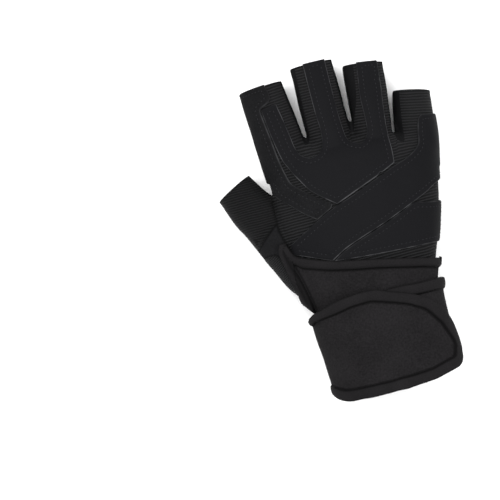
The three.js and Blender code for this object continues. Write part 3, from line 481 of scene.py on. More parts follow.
def inside(points, poly):
    x, y = points[:, 0], points[:, 1]
    result = np.zeros(len(points), bool)
    j = len(poly) - 1
    for i in range(len(poly)):
        xi, yi = poly[i]
        xj, yj = poly[j]
        if yi != yj:
            result ^= ((yi > y) != (yj > y)) & (x < (xj - xi) * (y - yi) / (yj - yi) + xi)
        j = i
    return result


def left_of(tangent):
    """Unit normals to the left of a line's tangents."""
    tangent = tangent / np.maximum(np.linalg.norm(tangent, axis=1), 1e-9)[:, None]
    return np.stack([-tangent[:, 1], tangent[:, 0]], 1)


def inset(poly, distance):
    """The polygon's points moved inward, to its left, by a distance."""
    return poly + left_of(np.roll(poly, -1, 0) - np.roll(poly, 1, 0)) * distance


# Hand form
def smooth_table(table, count):
    """Rows of a numeric table, filled in on smooth lines."""
    data = np.array(table, float)
    chord = np.r_[0, np.cumsum(np.linalg.norm(np.diff(data[:, :3], axis=0), axis=1))]
    slope = np.gradient(data, chord, axis=0)
    at = np.linspace(0, chord[-1], count + 1)
    k = np.clip(np.searchsorted(chord, at, side="right") - 1, 0, len(chord) - 2)
    d = (chord[k + 1] - chord[k])[:, None]
    t = ((at - chord[k])[:, None]) / d
    a, b, c, e = hermite(t)
    return a * data[k] + b * d * slope[k] + c * data[k + 1] + e * d * slope[k + 1]


def palm_table():
    """Sections of the palm as centre, turn, half width, half height and lean."""
    rows = []
    for left, left_y, right, right_y, low, high, wrist in PALM_ROWS:
        width = mm("wrist_width") if wrist else mm("palm_width")
        height = mm("wrist_height") if wrist else mm("palm_height")
        a = np.array([left * width, left_y * mm("hand_length")])
        b = np.array([right * width, right_y * mm("hand_length")])
        c = (a + b) / 2
        d = b - a
        rows.append((c[0], c[1], (low + high) / 2 * height, math.atan2(d[1], d[0]),
                     np.linalg.norm(d) / 2, (high - low) / 2 * height, 0))
    return rows


def digit_table(rows, width, height, longer=0.0):
    """Sections of a finger in the same form, made longer and a little wider towards its end."""
    last = len(rows) - 1
    result = []
    for i, (middle, along, wide, low, high, skew) in enumerate(rows):
        tall = high * height
        more = longer * i / last
        turn = math.radians(skew)
        result.append((middle * mm("palm_width") - math.sin(turn) * more,
                       along * mm("hand_length") + math.cos(turn) * more, low + tall / 2, turn,
                       (wide * width + 0.8 * more) / 2, tall / 2, math.radians(OPENING_LEAN * i / last)))
    return result


def sleeve(table, count, facets, past_start=0.0, past_end=0.0):
    """Vertices and faces of a closed sleeve through the table's sections."""
    rows = smooth_table(table, count)
    verts, faces = [], []
    for i, (x, y, z, turn, wide, tall, lean) in enumerate(rows):
        across = np.array([math.cos(turn), math.sin(turn), 0])
        forward = np.array([-math.sin(turn), math.cos(turn), 0])
        up = forward * math.sin(lean) + np.array([0, 0, math.cos(lean)])
        axis = forward * math.cos(lean) - np.array([0, 0, math.sin(lean)])
        centre = np.array([x, y, z])
        if i == 0:
            centre = centre - axis * past_start
        if i == count:
            centre = centre + axis * past_end
        for k in range(facets):
            angle = 2 * math.pi * k / facets
            c, s = math.cos(angle), math.sin(angle)
            u = math.copysign(abs(c) ** (2 / SECTION_POWER), c) * wide
            v = math.copysign(abs(s) ** (2 / SECTION_POWER), s) * tall
            verts.append(centre + across * u + up * v)
    for i in range(count):
        for k in range(facets):
            a, b = i * facets + k, i * facets + (k + 1) % facets
            faces.append((a, a + facets, b + facets, b))
    faces.append(tuple(range(facets)))
    faces.append(tuple(range(len(verts) - 1, len(verts) - 1 - facets, -1)))
    return verts, faces


def raw_object(name, verts, faces):
    mesh = bpy.data.meshes.new(name)
    mesh.from_pydata([tuple(v) for v in verts], [], [tuple(f) for f in faces])
    obj = bpy.data.objects.new(name, mesh)
    bpy.context.scene.collection.objects.link(obj)
    return obj


def settle(obj):
    """Applies the object's modifiers to its mesh."""
    bpy.context.view_layer.update()
    graph = bpy.context.evaluated_depsgraph_get()
    mesh = bpy.data.meshes.new_from_object(obj.evaluated_get(graph))
    old = obj.data
    obj.modifiers.clear()
    obj.data = mesh
    bpy.data.meshes.remove(old)


def drop(obj):
    mesh = obj.data
    bpy.data.objects.remove(obj)
    bpy.data.meshes.remove(mesh)


def vertex_array(obj):
    co = np.zeros(len(obj.data.vertices) * 3)
    obj.data.vertices.foreach_get("co", co)
    return co.reshape(-1, 3)


def put_vertices(obj, co):
    obj.data.vertices.foreach_set("co", np.ascontiguousarray(co, float).ravel())
    obj.data.update()


def finger_tables():
    """Sections of each finger, whose end springs out a little past the fitted form, and of the thumb."""
    tables = {name: digit_table(rows, mm("finger_width"), mm("finger_height"), FINGER_SPRING)
              for name, rows in FINGER_ROWS.items()}
    tables["thumb"] = digit_table(THUMB_ROWS, mm("thumb_width"), mm("thumb_height"))
    return tables


def hand_form():
    """The smooth closed hand form in plan millimetres, run on past its openings."""
    parts = [raw_object("hand_form", *sleeve(palm_table(), *PALM_MESH, past_start=PAST_WRIST))]
    for name, table in finger_tables().items():
        parts.append(raw_object(name, *sleeve(table, *FINGER_MESH, past_end=PAST_OPENINGS)))
    for part in parts[:-1]:
        mesh = bmesh.new()
        mesh.from_mesh(part.data)
        bmesh.ops.recalc_face_normals(mesh, faces=mesh.faces)
        mesh.to_mesh(part.data)
        mesh.free()
        for rows in FORKS.values():
            cut(part, prism(table_of(rows)), "DIFFERENCE")
    obj = join(parts)
    remesh = obj.modifiers.new("Remesh", "REMESH")
    remesh.mode = "VOXEL"
    remesh.voxel_size = mm("voxel")
    smooth = obj.modifiers.new("Smooth", "SMOOTH")
    smooth.factor = 0.5
    smooth.iterations = 6
    settle(obj)
    relief(obj)
    return obj


def relief(obj):
    """Soft unevenness of the cloth on the hand, and the palm's creases."""
    co = vertex_array(obj)
    normals = np.zeros(len(co) * 3)
    obj.data.vertices.foreach_get("normal", normals)
    normals = normals.reshape(-1, 3)
    lift = np.array([sum(noise.noise(Vector(p) / size + Vector(offset)) * high
                         for size, high, offset in UNEVEN) for p in co])
    seam = seam_height(co[:, 1])
    for a, b, depth, near, side in CREASES:
        d = edge_distance(co[:, :2], table_of([a, b]), False)
        lift -= np.where((co[:, 2] - seam) * side > 0, np.exp(-((d / near) ** 2)) * depth, 0)
    put_vertices(obj, co + normals * lift[:, None])


def seam_height(y):
    """Height of the seam between back and palm."""
    rows = np.array(SEAM_ROWS)
    return np.interp(y, rows[:, 0] * mm("hand_length"), rows[:, 1] * mm("palm_height"))


class Ground:
    """The hand form, asked where a ray meets it."""

    def __init__(self, obj):
        self.co = [Vector(v.co) for v in obj.data.vertices]
        self.no = [Vector(v.normal) for v in obj.data.vertices]
        self.faces = [tuple(p.vertices) for p in obj.data.polygons]
        self.tree = BVHTree.FromPolygons(self.co, self.faces)

    def hit(self, origin, direction):
        point, _, index, _ = self.tree.ray_cast(origin, direction)
        if point is None:
            point, _, index, _ = self.tree.find_nearest(origin + direction * 80)
        face = self.faces[index]
        weights = poly_3d_calc([self.co[i] for i in face], point)
        normal = Vector((0, 0, 0))
        for w, i in zip(weights, face):
            normal += self.no[i] * w
        return point, normal.normalized()


def prepare():
    """Makes the hand form once and measures its edge on the little finger's side."""
    if HAND:
        return
    form = hand_form()
    HAND["form"] = form
    HAND["ground"] = Ground(form)
    co = vertex_array(form)
    bins = np.arange(-14, 200, 1.5)
    place = np.digitize(co[:, 1], bins)
    middles = (bins[1:] + bins[:-1]) / 2
    full = [i for i in range(1, len(bins)) if (place == i).any()]
    HAND["right"] = ([middles[i - 1] for i in full], [co[place == i, 0].max() for i in full])


def back_turns(v, hand_only):
    """Where the back turns down on the left and right; with the thumb's root there is no left turn."""
    right = float(np.interp(v, *HAND["right"])) - TURN_START
    if not hand_only:
        return TURN_START - 200.0, right
    rows = table_of(LEFT_EDGE)
    below_fork = min(1, max(0, (THUMB_FORK - v) / 12))
    return float(np.interp(v, rows[:, 1], rows[:, 0])) - 30 * below_fork + TURN_START, right


def back_ray(u, v, hand_only):
    """Where the hand is met at a distance across its back and down round its edge."""
    left, right = back_turns(v, hand_only)
    x = min(max(u, left), right)
    angle = max(-STEEPEST, min(STEEPEST, (u - x) / TURN_ROUND))
    direction = Vector((math.sin(angle), 0, math.cos(angle)))
    centre = Vector((x, v, float(seam_height(v))))
    # short on the thumb's side, so that the ray starts between the hand and the thumb
    far = FAR if not hand_only or x > 0 or abs(angle) < 0.5 else BESIDE_THUMB
    return HAND["ground"].hit(centre + direction * far, -direction)


def on_back(u, v):
    """A point of the hand's back, by distance round it, without the thumb."""
    return back_ray(u, v, True)


def on_cuff(u, v):
    """The same, with the thumb's root as part of the edge."""
    return back_ray(u, v, False)


def on_palm(u, v):
    return HAND["ground"].hit(Vector((u, v, -60)), Vector((0, 0, 1)))


def falls_short(u, x, y, sign, hand_only):
    """Whether the distance u round the back ends before it reaches x."""
    return (back_ray(u, y, hand_only)[0].x - x) * sign < 0


def unrolled(poly, hand_only=True):
    """Plan outline turned into distances round the back."""
    result = []
    for x, y in poly:
        left, right = back_turns(y, hand_only)
        if left <= x <= right:
            result.append((x, y))
            continue
        sign, start = (1, right) if x > right else (-1, left)
        low, high = 0.0, FURTHEST_TURN
        if falls_short(start + sign * TURN_ROUND * high, x, y, sign, hand_only):
            low = high
        for _ in range(12):
            middle = (low + high) / 2
            if falls_short(start + sign * TURN_ROUND * middle, x, y, sign, hand_only):
                low = middle
            else:
                high = middle
        result.append((start + sign * TURN_ROUND * low, y))
    return np.array(result)


def on_wrist(u, v):
    """A point of the wrist, by distance round it from the middle of the back towards the little finger."""
    angle = u / WRIST_ROUND
    direction = Vector((math.sin(angle), 0, math.cos(angle)))
    centre = Vector((WRIST_AXIS[0], v, WRIST_AXIS[1]))
    return HAND["ground"].hit(centre + direction * FAR, -direction)


def height_at(level, u, v):
    """A height given as a number or worked out from the place."""
    return level(u, v) if callable(level) else level


def raised(place, u, v, height):
    """The point that lies a height above the hand."""
    point, normal = place(u, v)
    return np.array(point) + np.array(normal) * height


# Pieces
def put_values(obj, name, values):
    """Gives each vertex a number that the materials read by name."""
    data = obj.data.attributes
    attribute = data.get(name) or data.new(name, "FLOAT", "POINT")
    attribute.data.foreach_set("value", values)


def finish_piece(obj, node, materials, smooth=35):
    """Moves a piece into the row frame, hangs it on the root body and hides the solid that it stands for."""
    co = (vertex_array(obj) + shift()) * MM
    co[:, 2] = np.maximum(co[:, 2], LOWEST)
    put_vertices(obj, co)
    obj.data.materials.clear()
    if len(materials) == 1:
        obj.data.polygons.foreach_set("material_index", [0] * len(obj.data.polygons))
    for material in materials:
        obj.data.materials.append(material)
    # Pieces without cut edges get no cut edge colour or painted highlight, and pieces without painted shade
    # keep their colour unscaled.
    for name, value in (("cut_edge_and_highlight", 0.0), ("painted_shade_and_tone", 1.0)):
        if name not in obj.data.attributes:
            put_values(obj, name, np.full(len(obj.data.vertices), value))
    obj.data.shade_smooth()
    obj.data.set_sharp_from_angle(angle=math.radians(smooth))
    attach(obj, "root")
    if node:
        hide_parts(*([node] if isinstance(node, str) else node))


def edge_tone_and_highlight(points, poly):
    """How light the cut edge shows at each point: painted highlight, weaker where the edge faces the fingers,
    times the edge's own uneven lightness.
    """
    result = np.zeros(len(points))
    away = -(inset(poly, 1.0) - poly)
    for i, point in enumerate(points):
        k = int(np.argmin(((poly - point) ** 2).sum(1)))
        # Painted highlight: stronger on edges that face the wrist and a little stronger towards the little
        # finger, weaker on edges that face the fingers.
        facing = min(1.0, max(0.22, 0.75 - 0.75 * away[k][1] + 0.2 * away[k][0]))
        patchy = 0.75 + 1.1 * noise.noise(Vector((point[0] / 5, point[1] / 5, 3.3)))
        result[i] = facing * min(1.2, max(0.25, patchy))
    return result


def flat_points(poly, rows, spacing):
    """Points of a flat cloth: its outline, rows along that and a grid in its middle."""
    points = [poly]
    for distance in rows:
        moved = inset(poly, distance)
        points.append(moved[inside(moved, poly) & (edge_distance(moved, poly) > distance * 0.93)])
    low, high = poly.min(0), poly.max(0)
    columns = np.arange(low[0], high[0], spacing)
    lines = np.arange(low[1], high[1], spacing * 0.866)
    grid = np.array([(x + (spacing / 2 if j % 2 else 0), y) for j, y in enumerate(lines) for x in columns])
    grid = grid[inside(grid, poly)]
    points.append(grid[edge_distance(grid, poly) > rows[-1] + spacing * 0.45])
    return np.vstack(points)


def border_of(tris):
    """The outer edges of a sheet of triangles."""
    border = {}
    for tri in tris:
        for a, b in ((tri[0], tri[1]), (tri[1], tri[2]), (tri[2], tri[0])):
            if (b, a) in border:
                del border[(b, a)]
            else:
                border[(a, b)] = True
    return border


def sewn(distance):
    """Share of a strap's thickness by distance from its edge: rounded, and pulled down by the stitches."""
    return np.interp(distance, [0, 0.3, 0.8, 1.8, 3.0, 4.2], [0.3, 0.75, 1.0, 0.97, 0.84, 1.0])


def dome(distance):
    """The same for a printed pad."""
    return np.interp(distance, [0, 0.25, 0.7, 1.6], [0.25, 0.7, 0.93, 1.0])


def patch(name, poly, place, level, thick, spacing=1.4, rows=EDGE_ROWS, profile=sewn, reverse=False,
          shade_line=None, cut_edge_light=0.75):
    """A cloth piece over the hand form with a soft edge.

    poly is its outline in distances over the form, place finds a point of the form, level is its
    underside's height, profile gives the share of thick by distance from the edge, the shade line is the
    distance from the edge of a band of painted shade beside a tape and the cut edge light is how light the
    cut edge shows, painted highlight included.
    """
    poly = anticlockwise(poly)
    n = len(poly)
    edges = [(i, (i + 1) % n) for i in range(n)]
    flat = [Vector(p) for p in flat_points(poly, rows, spacing)]
    flat, _, tris, *_ = delaunay_2d_cdt(flat, edges, [], 1, 1e-5)
    flat = np.array([tuple(p) for p in flat])
    distance = edge_distance(flat, poly)
    verts, base = [], []
    for (u, v), high in zip(flat, thick * profile(distance)):
        here = height_at(level, u, v)
        verts.append(raised(place, u, v, here + high))
        base.append(raised(place, u, v, here))
    faces = [tuple(tri) for tri in tris]
    border = border_of(tris)
    lower = {}
    for edge in border:
        for i in edge:
            if i not in lower:
                lower[i] = len(verts)
                verts.append(base[i])
    faces += [(b, a, lower[a], lower[b]) for a, b in border]
    if reverse:
        faces = [face[::-1] for face in faces]
    obj = raw_object(name, verts, faces)
    # Cut edge: its own lighter colour and painted highlight, full at the edge and gone 0.62 mm in.
    edge = np.interp(distance, [0.0, 0.3, 0.62], [1.0, 1.0, 0.0])
    near = distance < 0.62
    edge[near] *= edge_tone_and_highlight(flat[near], poly) * cut_edge_light
    put_values(obj, "cut_edge_and_highlight", np.concatenate([edge, np.full(len(verts) - len(edge), 0.5)]))
    # Painted shade: a darker band at the given distance from the edge, beside the inner edge of the tape laid
    # over the cloth, standing for the tape's shadow on it.
    painted_shade_and_tone = np.ones(len(verts))
    if shade_line:
        reach = [shade_line - 0.5, shade_line - 0.1, shade_line + 0.3, shade_line + 0.8]
        painted_shade_and_tone[:len(flat)] = np.interp(distance, reach, [1, 0.4, 0.4, 1])
    put_values(obj, "painted_shade_and_tone", painted_shade_and_tone)
    return obj


def ribbon(name, path, place, shape, shaded_point=None):
    """A band swept along a path; shape lists its section as (inward, height) pairs."""
    verts, faces = [], []
    count, rings = len(shape), len(path)
    for (u, v), (nu, nv) in zip(path, left_of(np.gradient(path, axis=0))):
        for inward, height in shape:
            verts.append(raised(place, u + nu * inward, v + nv * inward, height_at(height, u, v)))
    for i in range(rings - 1):
        for k in range(count - 1):
            a = i * count + k
            faces.append((a, a + count, a + count + 1, a + 1))
    faces.append(tuple(range(count)))
    faces.append(tuple(range(rings * count - 1, (rings - 1) * count - 1, -1)))
    obj = raw_object(name, verts, faces)
    wide = shape[-1][0]
    # Painted shade on the tape: darker over its folded outer edge and towards its inner edge where it meets
    # the cloth, which leaves the crown lighter; one given section point gets more painted shade along the
    # whole tape.
    painted_shade_and_tone = [float(np.interp(t, [-0.6, 0.2, wide - 1.3, wide - 0.5], [0.6, 1, 1, 0.3])) for t, _ in shape]
    if shaded_point:
        painted_shade_and_tone[shaded_point] *= 0.4
    put_values(obj, "painted_shade_and_tone", painted_shade_and_tone * rings)
    return obj


def tape(name, path, place, shape, shaded_point=None):
    """A folded edge tape along a path."""
    piece = ribbon(name + "_binding", path, place, shape, shaded_point)
    finish_piece(piece, name + "_tape", [tape_material()], 50)


def tape_shape(width, base, top, edge_low):
    """Section of a folded tape: round over the edge, crowned, down to the cloth."""
    mid = (edge_low + top) / 2
    return [
        (1.0, edge_low), (0.15, edge_low + 0.05), (-0.35, edge_low + 0.5), (-0.5, mid), (-0.25, top - 0.35),
        (0.4, top), (width * 0.3, top + 0.25), (width * 0.55, top + 0.25), (width * 0.8, top),
        (width - 0.55, top - 0.2), (width - 0.12, base + 0.35), (width, base - 0.1),
    ]


# Stitches
def stitch_line(path, place, level):
    """Short threads along a path, held for one joined mesh."""
    pitch = mm("stitch_pitch")
    run = np.r_[0, np.cumsum(np.linalg.norm(np.diff(path, axis=0), axis=1))]
    if run[-1] < pitch:
        return
    for s in np.arange(pitch / 2, run[-1], pitch):
        a = np.array([np.interp(s - STITCH_LENGTH / 2, run, path[:, k]) for k in (0, 1)])
        b = np.array([np.interp(s + STITCH_LENGTH / 2, run, path[:, k]) for k in (0, 1)])
        add_thread(place, a, b, level)


def add_thread(place, a, b, level):
    """One thread from a to b: it dips into the cloth at both ends."""
    ends = []
    for p, dip in ((a, 0.28), ((a + b) / 2, -0.06), (b, 0.28)):
        point, normal = place(p[0], p[1])
        ends.append((np.array(point) + np.array(normal) * (level - dip), np.array(normal)))
    axis = ends[2][0] - ends[0][0]
    size = np.linalg.norm(axis)
    if size < 0.3 or size > 3.5:
        return
    axis /= size
    base = len(STITCH["verts"])
    for (centre, normal), scale in zip(ends, (0.65, 1.0, 0.65)):
        side = np.cross(axis, normal)
        side /= max(np.linalg.norm(side), 1e-9)
        up = np.cross(side, axis)
        for k in range(5):
            angle = math.pi * k / 4
            out = side * math.cos(angle) + up * math.sin(angle) * 1.1
            STITCH["verts"].append(centre + out * STITCH_RADIUS * scale)
    for ring in range(2):
        for k in range(4):
            a0 = base + ring * 5 + k
            STITCH["faces"].append((a0, a0 + 5, a0 + 6, a0 + 1))
    STITCH["faces"].append(tuple(range(base, base + 5)))
    STITCH["faces"].append(tuple(range(base + 14, base + 9, -1)))


def stitches_done(name):
    """Makes one mesh of the threads held so far."""
    obj = raw_object(name, STITCH["verts"], STITCH["faces"])
    STITCH.update(verts=[], faces=[])
    finish_piece(obj, None, [thread_material()], 60)


# Materials
def linear(code):
    """An sRGB hex colour as linear values."""
    result = []
    for i in (0, 2, 4):
        c = int(code[i:i + 2], 16) / 255
        result.append(c / 12.92 if c <= 0.04045 else ((c + 0.055) / 1.055) ** 2.4)
    return (*result, 1.0)


def node(tree, kind, links=None, **settings):
    """Adds a node with settings on it or on its inputs, and links into its inputs."""
    made = tree.nodes.new(kind)
    for key, value in settings.items():
        if hasattr(made, key):
            setattr(made, key, value)
        else:
            made.inputs[key.replace("_", " ")].default_value = value
    for key, source in (links or {}).items():
        tree.links.new(source, made.inputs[key])
    return made


def start_material(name):
    material = bpy.data.materials.new(name)
    material.use_nodes = True
    tree = material.node_tree
    shader = tree.nodes["Principled BSDF"]
    return material, tree, shader


def shade(code, factor):
    r, g, b, _ = linear(code)
    return (r * factor, g * factor, b * factor, 1.0)


def times(tree, source, factor):
    made = node(tree, "ShaderNodeMath", {0: source}, operation="MULTIPLY")
    made.inputs[1].default_value = factor
    return made.outputs[0]


def plus(tree, one, other):
    return node(tree, "ShaderNodeMath", {0: one, 1: other}, operation="ADD").outputs[0]


def mix(tree, factor, low, high):
    """Two colours mixed by a factor."""
    made = node(tree, "ShaderNodeMix", {"Factor": factor}, data_type="RGBA")
    made.inputs["A"].default_value = low
    made.inputs["B"].default_value = high
    return made.outputs["Result"]


def apply_painted_shade(tree, shader, colour):
    """The colour, scaled by the painted shade and tone attribute, as the shader's colour: painted shade in
    seam furrows, on the tapes' sides and beside the tapes, and a tone scale on some pieces.
    """
    painted_shade_and_tone = node(tree, "ShaderNodeAttribute", attribute_name="painted_shade_and_tone").outputs["Fac"]
    seam = node(tree, "ShaderNodeVectorMath", {0: colour, "Scale": painted_shade_and_tone}, operation="SCALE")
    tree.links.new(seam.outputs[0], shader.inputs["Base Color"])


def bumped(tree, shader, height, strength, distance):
    made = node(tree, "ShaderNodeBump", {"Height": height}, Strength=strength, Distance=distance)
    tree.links.new(made.outputs["Normal"], shader.inputs["Normal"])


def surface(shader, roughness, specular):
    shader.inputs["Roughness"].default_value = roughness
    shader.inputs["Specular IOR Level"].default_value = specular


def cloth_material(name, code, roughness, grain, mottle, bump, contrast=0.25, specular=0.05):
    """Matt cloth: fine grain in tone and relief, slow mottling, cut edges lighter with painted highlight, and
    painted shade along seams and tapes.
    """
    if name in MATERIALS:
        return MATERIALS[name]
    material, tree, shader = start_material(name)
    where = node(tree, "ShaderNodeTexCoord").outputs["Object"]
    fine = node(tree, "ShaderNodeTexNoise", {"Vector": where}, Scale=1000 / grain, Detail=3.0, Roughness=0.6)
    slow = node(tree, "ShaderNodeTexNoise", {"Vector": where}, Scale=1000 / mottle, Detail=3.0, Roughness=0.5)
    both = plus(tree, fine.outputs[0], times(tree, slow.outputs[0], 0.5))
    tone = node(tree, "ShaderNodeMapRange", {"Value": both}, From_Min=0.5, From_Max=1.0)
    cloth = mix(tree, tone.outputs["Result"], shade(code, 1 - contrast), shade(code, 1 + contrast))
    # Cut edges: their own lighter colour mixed in together with painted highlight, by a per-vertex share.
    cut_edge_and_highlight = node(tree, "ShaderNodeAttribute", attribute_name="cut_edge_and_highlight").outputs["Fac"]
    edge = node(tree, "ShaderNodeMix", {"Factor": cut_edge_and_highlight, "A": cloth}, data_type="RGBA")
    edge.inputs["B"].default_value = linear(colours().cut_edge_and_highlight)
    apply_painted_shade(tree, shader, edge.outputs["Result"])
    bumped(tree, shader, fine.outputs[0], bump, 0.0002)
    surface(shader, roughness, specular)
    MATERIALS[name] = material
    return material


def suede_material():
    # brushed palm suede: soft nap that scatters light, cloudy where it is stroked
    return cloth_material("brushed_suede", colours().suede, 0.95, 0.9, 9.0, 0.9, 0.3)


def strap_material():
    # synthetic leather: smooth, satin, very fine grain
    return cloth_material("synthetic_leather", colours().strap, 0.7, 0.7, 22.0, 0.35, 0.12, 0.06)


def cuff_material():
    # brushed elastic webbing: matt with a speckled nap
    return cloth_material("brushed_webbing", colours().cuff, 0.92, 1.1, 16.0, 1.0, 0.35)


def tape_material():
    # folded edge tape: dense and matt; painted shade on its sides leaves the crown a little lighter
    return cloth_material("edge_tape", colours().tape, 0.85, 0.6, 12.0, 0.6)


def side_material():
    # smooth stretch cloth between the fingers: the darkest cloth
    return cloth_material("smooth_stretch_cloth", colours().side, 0.75, 0.6, 9.0, 0.4)


def thread_material():
    # sewing thread: lighter than the cloth, faint shine
    return cloth_material("sewing_thread", colours().thread, 0.6, 0.5, 30.0, 0.2)


def grip_material():
    # printed silicone: black gloss with a clear face
    if "silicone_print" in MATERIALS:
        return MATERIALS["silicone_print"]
    material, tree, shader = start_material("silicone_print")
    where = node(tree, "ShaderNodeTexCoord").outputs["Object"]
    wave = node(tree, "ShaderNodeTexNoise", {"Vector": where}, Scale=120.0, Detail=2.0)
    bumped(tree, shader, wave.outputs[0], 0.25, 0.001)
    shader.inputs["Base Color"].default_value = linear(colours().grip)
    shader.inputs["Roughness"].default_value = 0.16
    shader.inputs["IOR"].default_value = 1.41
    MATERIALS["silicone_print"] = material
    return material


def knit_material():
    # ribbed stretch knit: the ribs are in the bump, and the colour paints a highlight on each raised rib and
    # shade in the furrows between
    if "ribbed_knit" in MATERIALS:
        return MATERIALS["ribbed_knit"]
    material, tree, shader = start_material("ribbed_knit")
    where = node(tree, "ShaderNodeTexCoord").outputs["Object"]
    rib = node(tree, "ShaderNodeAttribute", attribute_name="rib").outputs["Fac"]
    sway = node(tree, "ShaderNodeTexNoise", {"Vector": where}, Scale=90.0, Detail=2.0)
    along = plus(tree, rib, times(tree, sway.outputs[0], 1.1))
    turns = times(tree, along, 2 * math.pi / mm("rib_pitch"))
    wave = node(tree, "ShaderNodeMath", {0: turns}, operation="SINE")
    level = node(tree, "ShaderNodeMapRange", {"Value": wave.outputs[0]}, From_Min=-1.0, From_Max=0.9)
    fine = node(tree, "ShaderNodeTexNoise", {"Vector": where}, Scale=1400.0, Detail=2.0)
    rib_height_and_light = level.outputs["Result"]
    grain = node(tree, "ShaderNodeMath", {0: fine.outputs[0], 1: rib_height_and_light, 2: rib_height_and_light}, operation="MULTIPLY_ADD")
    # Painted highlight and shade: over each rib the colour runs from 0.3 times the knit colour in the furrow
    # to 1.4 times on the crest.
    apply_painted_shade(tree, shader, mix(tree, rib_height_and_light, shade(colours().knit, 0.3), shade(colours().knit, 1.4)))
    bumped(tree, shader, grain.outputs[0], 0.8, 0.0005)
    surface(shader, 0.8, 0.1)
    MATERIALS["ribbed_knit"] = material
    return material


def rib_attribute(obj, tight=1.0):
    """How far each point lies along its finger or the hand, in millimetres."""
    co = vertex_array(obj) / MM - shift()
    tables = finger_tables()
    value = co[:, 1] * math.cos(BACK_TILT) - co[:, 0] * math.sin(BACK_TILT)
    for name in ("index", "middle", "ring", "little"):
        table = np.array(tables[name])
        mid = np.interp(co[:, 1], table[:, 1], table[:, 0])
        half = np.interp(co[:, 1], table[:, 1], table[:, 4])
        turn = table[-1, 3]
        start = table[1, :2]
        along = -(co[:, 0] - start[0]) * math.sin(turn) + (co[:, 1] - start[1]) * math.cos(turn) + start[1]
        weight = np.clip((co[:, 1] - start[1] + 14) / 14, 0, 1) * (np.abs(co[:, 0] - mid) < half + 1)
        value = value * (1 - weight) + along * weight
    put_values(obj, "rib", value * tight)


def seam_shade(obj, lines, tone=1.0):
    """Paints shade into the cloth in the furrows of its seams; tone scales the colour of the whole piece."""
    co = vertex_array(obj) / MM - shift()
    near = np.full(len(co), 99.0)
    for rows in lines:
        near = np.minimum(near, edge_distance(co[:, :2], table_of(rows), False))
    put_values(obj, "painted_shade_and_tone", tone * np.interp(near, [0.3, 1.2], [0.35, 1.0]))


# Shell
def block(points, low, high, place):
    """A closed block that runs an outline from low to high; place orders its coordinates."""
    points = anticlockwise(points)
    n = len(points)
    verts = [place(a, b, level) for level in (low, high) for a, b in points]
    faces = [tuple(range(n - 1, -1, -1)), tuple(range(n, 2 * n))]
    faces += [(i, (i + 1) % n, n + (i + 1) % n, n + i) for i in range(n)]
    return raw_object("room", verts, faces)


def prism(points):
    """The room above and below a plan outline."""
    return block(points, -60.0, 90.0, lambda x, y, z: (x, y, z))


def seam_prism(above, lift):
    """The room above or below the side seam, moved up by a lift."""
    ys = np.linspace(-40, 240, 90)
    zs = seam_height(ys) + lift
    far = 120.0 if above else -120.0
    points = list(zip(ys, zs)) + [(ys[-1], far), (ys[0], far)]
    return block(points, -150, 150, lambda y, z, x: (x, y, z))


def cut(obj, tool, operation):
    """Cuts obj by tool and removes the tool."""
    modifier = obj.modifiers.new("Cut", "BOOLEAN")
    modifier.object = tool
    modifier.operation = operation
    modifier.solver = "MANIFOLD"
    settle(obj)
    drop(tool)
    return obj


def copy_of(obj, name):
    made = bpy.data.objects.new(name, obj.data.copy())
    bpy.context.scene.collection.objects.link(made)
    return made


def openings():
    """Centre and outward direction of each opening, and how far across and along it the cloth ends."""
    planes = []
    for table in finger_tables().values():
        x, y, z, turn, wide, tall, lean = table[-1]
        forward = Vector((-math.sin(turn), math.cos(turn), 0)) * math.cos(lean)
        forward -= Vector((0, 0, math.sin(lean)))
        planes.append((Vector((x, y, z)), forward, max(wide, tall) + FINGER_REACH[0], FINGER_REACH[1]))
    planes.append((Vector(WRIST_PLANE), Vector((0, -1, 0)), *WRIST_REACH))
    return planes


def faces_near(mesh, centre, direction, near, deep, least=None):
    """Faces within reach of an opening, and past it by least if that is given."""
    result = []
    for face in mesh.faces:
        away = face.calc_center_median() - centre
        along = away.dot(direction)
        in_reach = (away - direction * along).length < near and abs(along) < deep
        if in_reach and (least is None or along > least):
            result.append(face)
    return result


def hand_shell():
    """The form opened at its ends and given the cloth's wall."""
    if "shell" in HAND:
        return HAND["shell"]
    shell = copy_of(HAND["form"], "shell")
    mesh = bmesh.new()
    mesh.from_mesh(shell.data)
    for opening in openings():
        faces = faces_near(mesh, *opening)
        verts = list({v for f in faces for v in f.verts})
        edges = list({e for f in faces for e in f.edges})
        bmesh.ops.bisect_plane(mesh, geom=verts + edges + faces, plane_co=opening[0], plane_no=opening[1])
        bmesh.ops.delete(mesh, geom=faces_near(mesh, *opening, least=1e-4), context="FACES")
    mesh.to_mesh(shell.data)
    mesh.free()
    solid = shell.modifiers.new("Wall", "SOLIDIFY")
    solid.thickness = mm("shell_wall")
    solid.offset = -1
    settle(shell)
    HAND["shell"] = shell
    return shell


def thumb_room():
    """The plan room of the thumb, left of its seam."""
    edge = THUMB_EDGE * mm("palm_width")
    low = edge + THUMB_EDGE_STEP
    step, fork, top, far = [share * mm("hand_length") for share in THUMB_ALONG]
    return prism([(-150, -20), (low, -20), (low, step), (edge, fork), (edge, top), (-150, far)])


def side_room(name, grow):
    """The plan room of a cloth between two fingers."""
    points = anticlockwise(spline(table_of(SIDE_PANELS[name]), 1.5, True, (0, 6)))
    return prism(inset(points, -grow))


def line_room(rows, corners):
    """The plan room between a line and far corners."""
    return prism(list(line_of(rows, 1.5)) + corners)


def thumb_low():
    """The room above the thumb's lower seam."""
    return seam_prism(True, THUMB_LOW * mm("palm_height"))


def side_low():
    """The room above the lower seam of the cloths between the fingers."""
    return seam_prism(True, SIDE_LOW * mm("palm_height"))


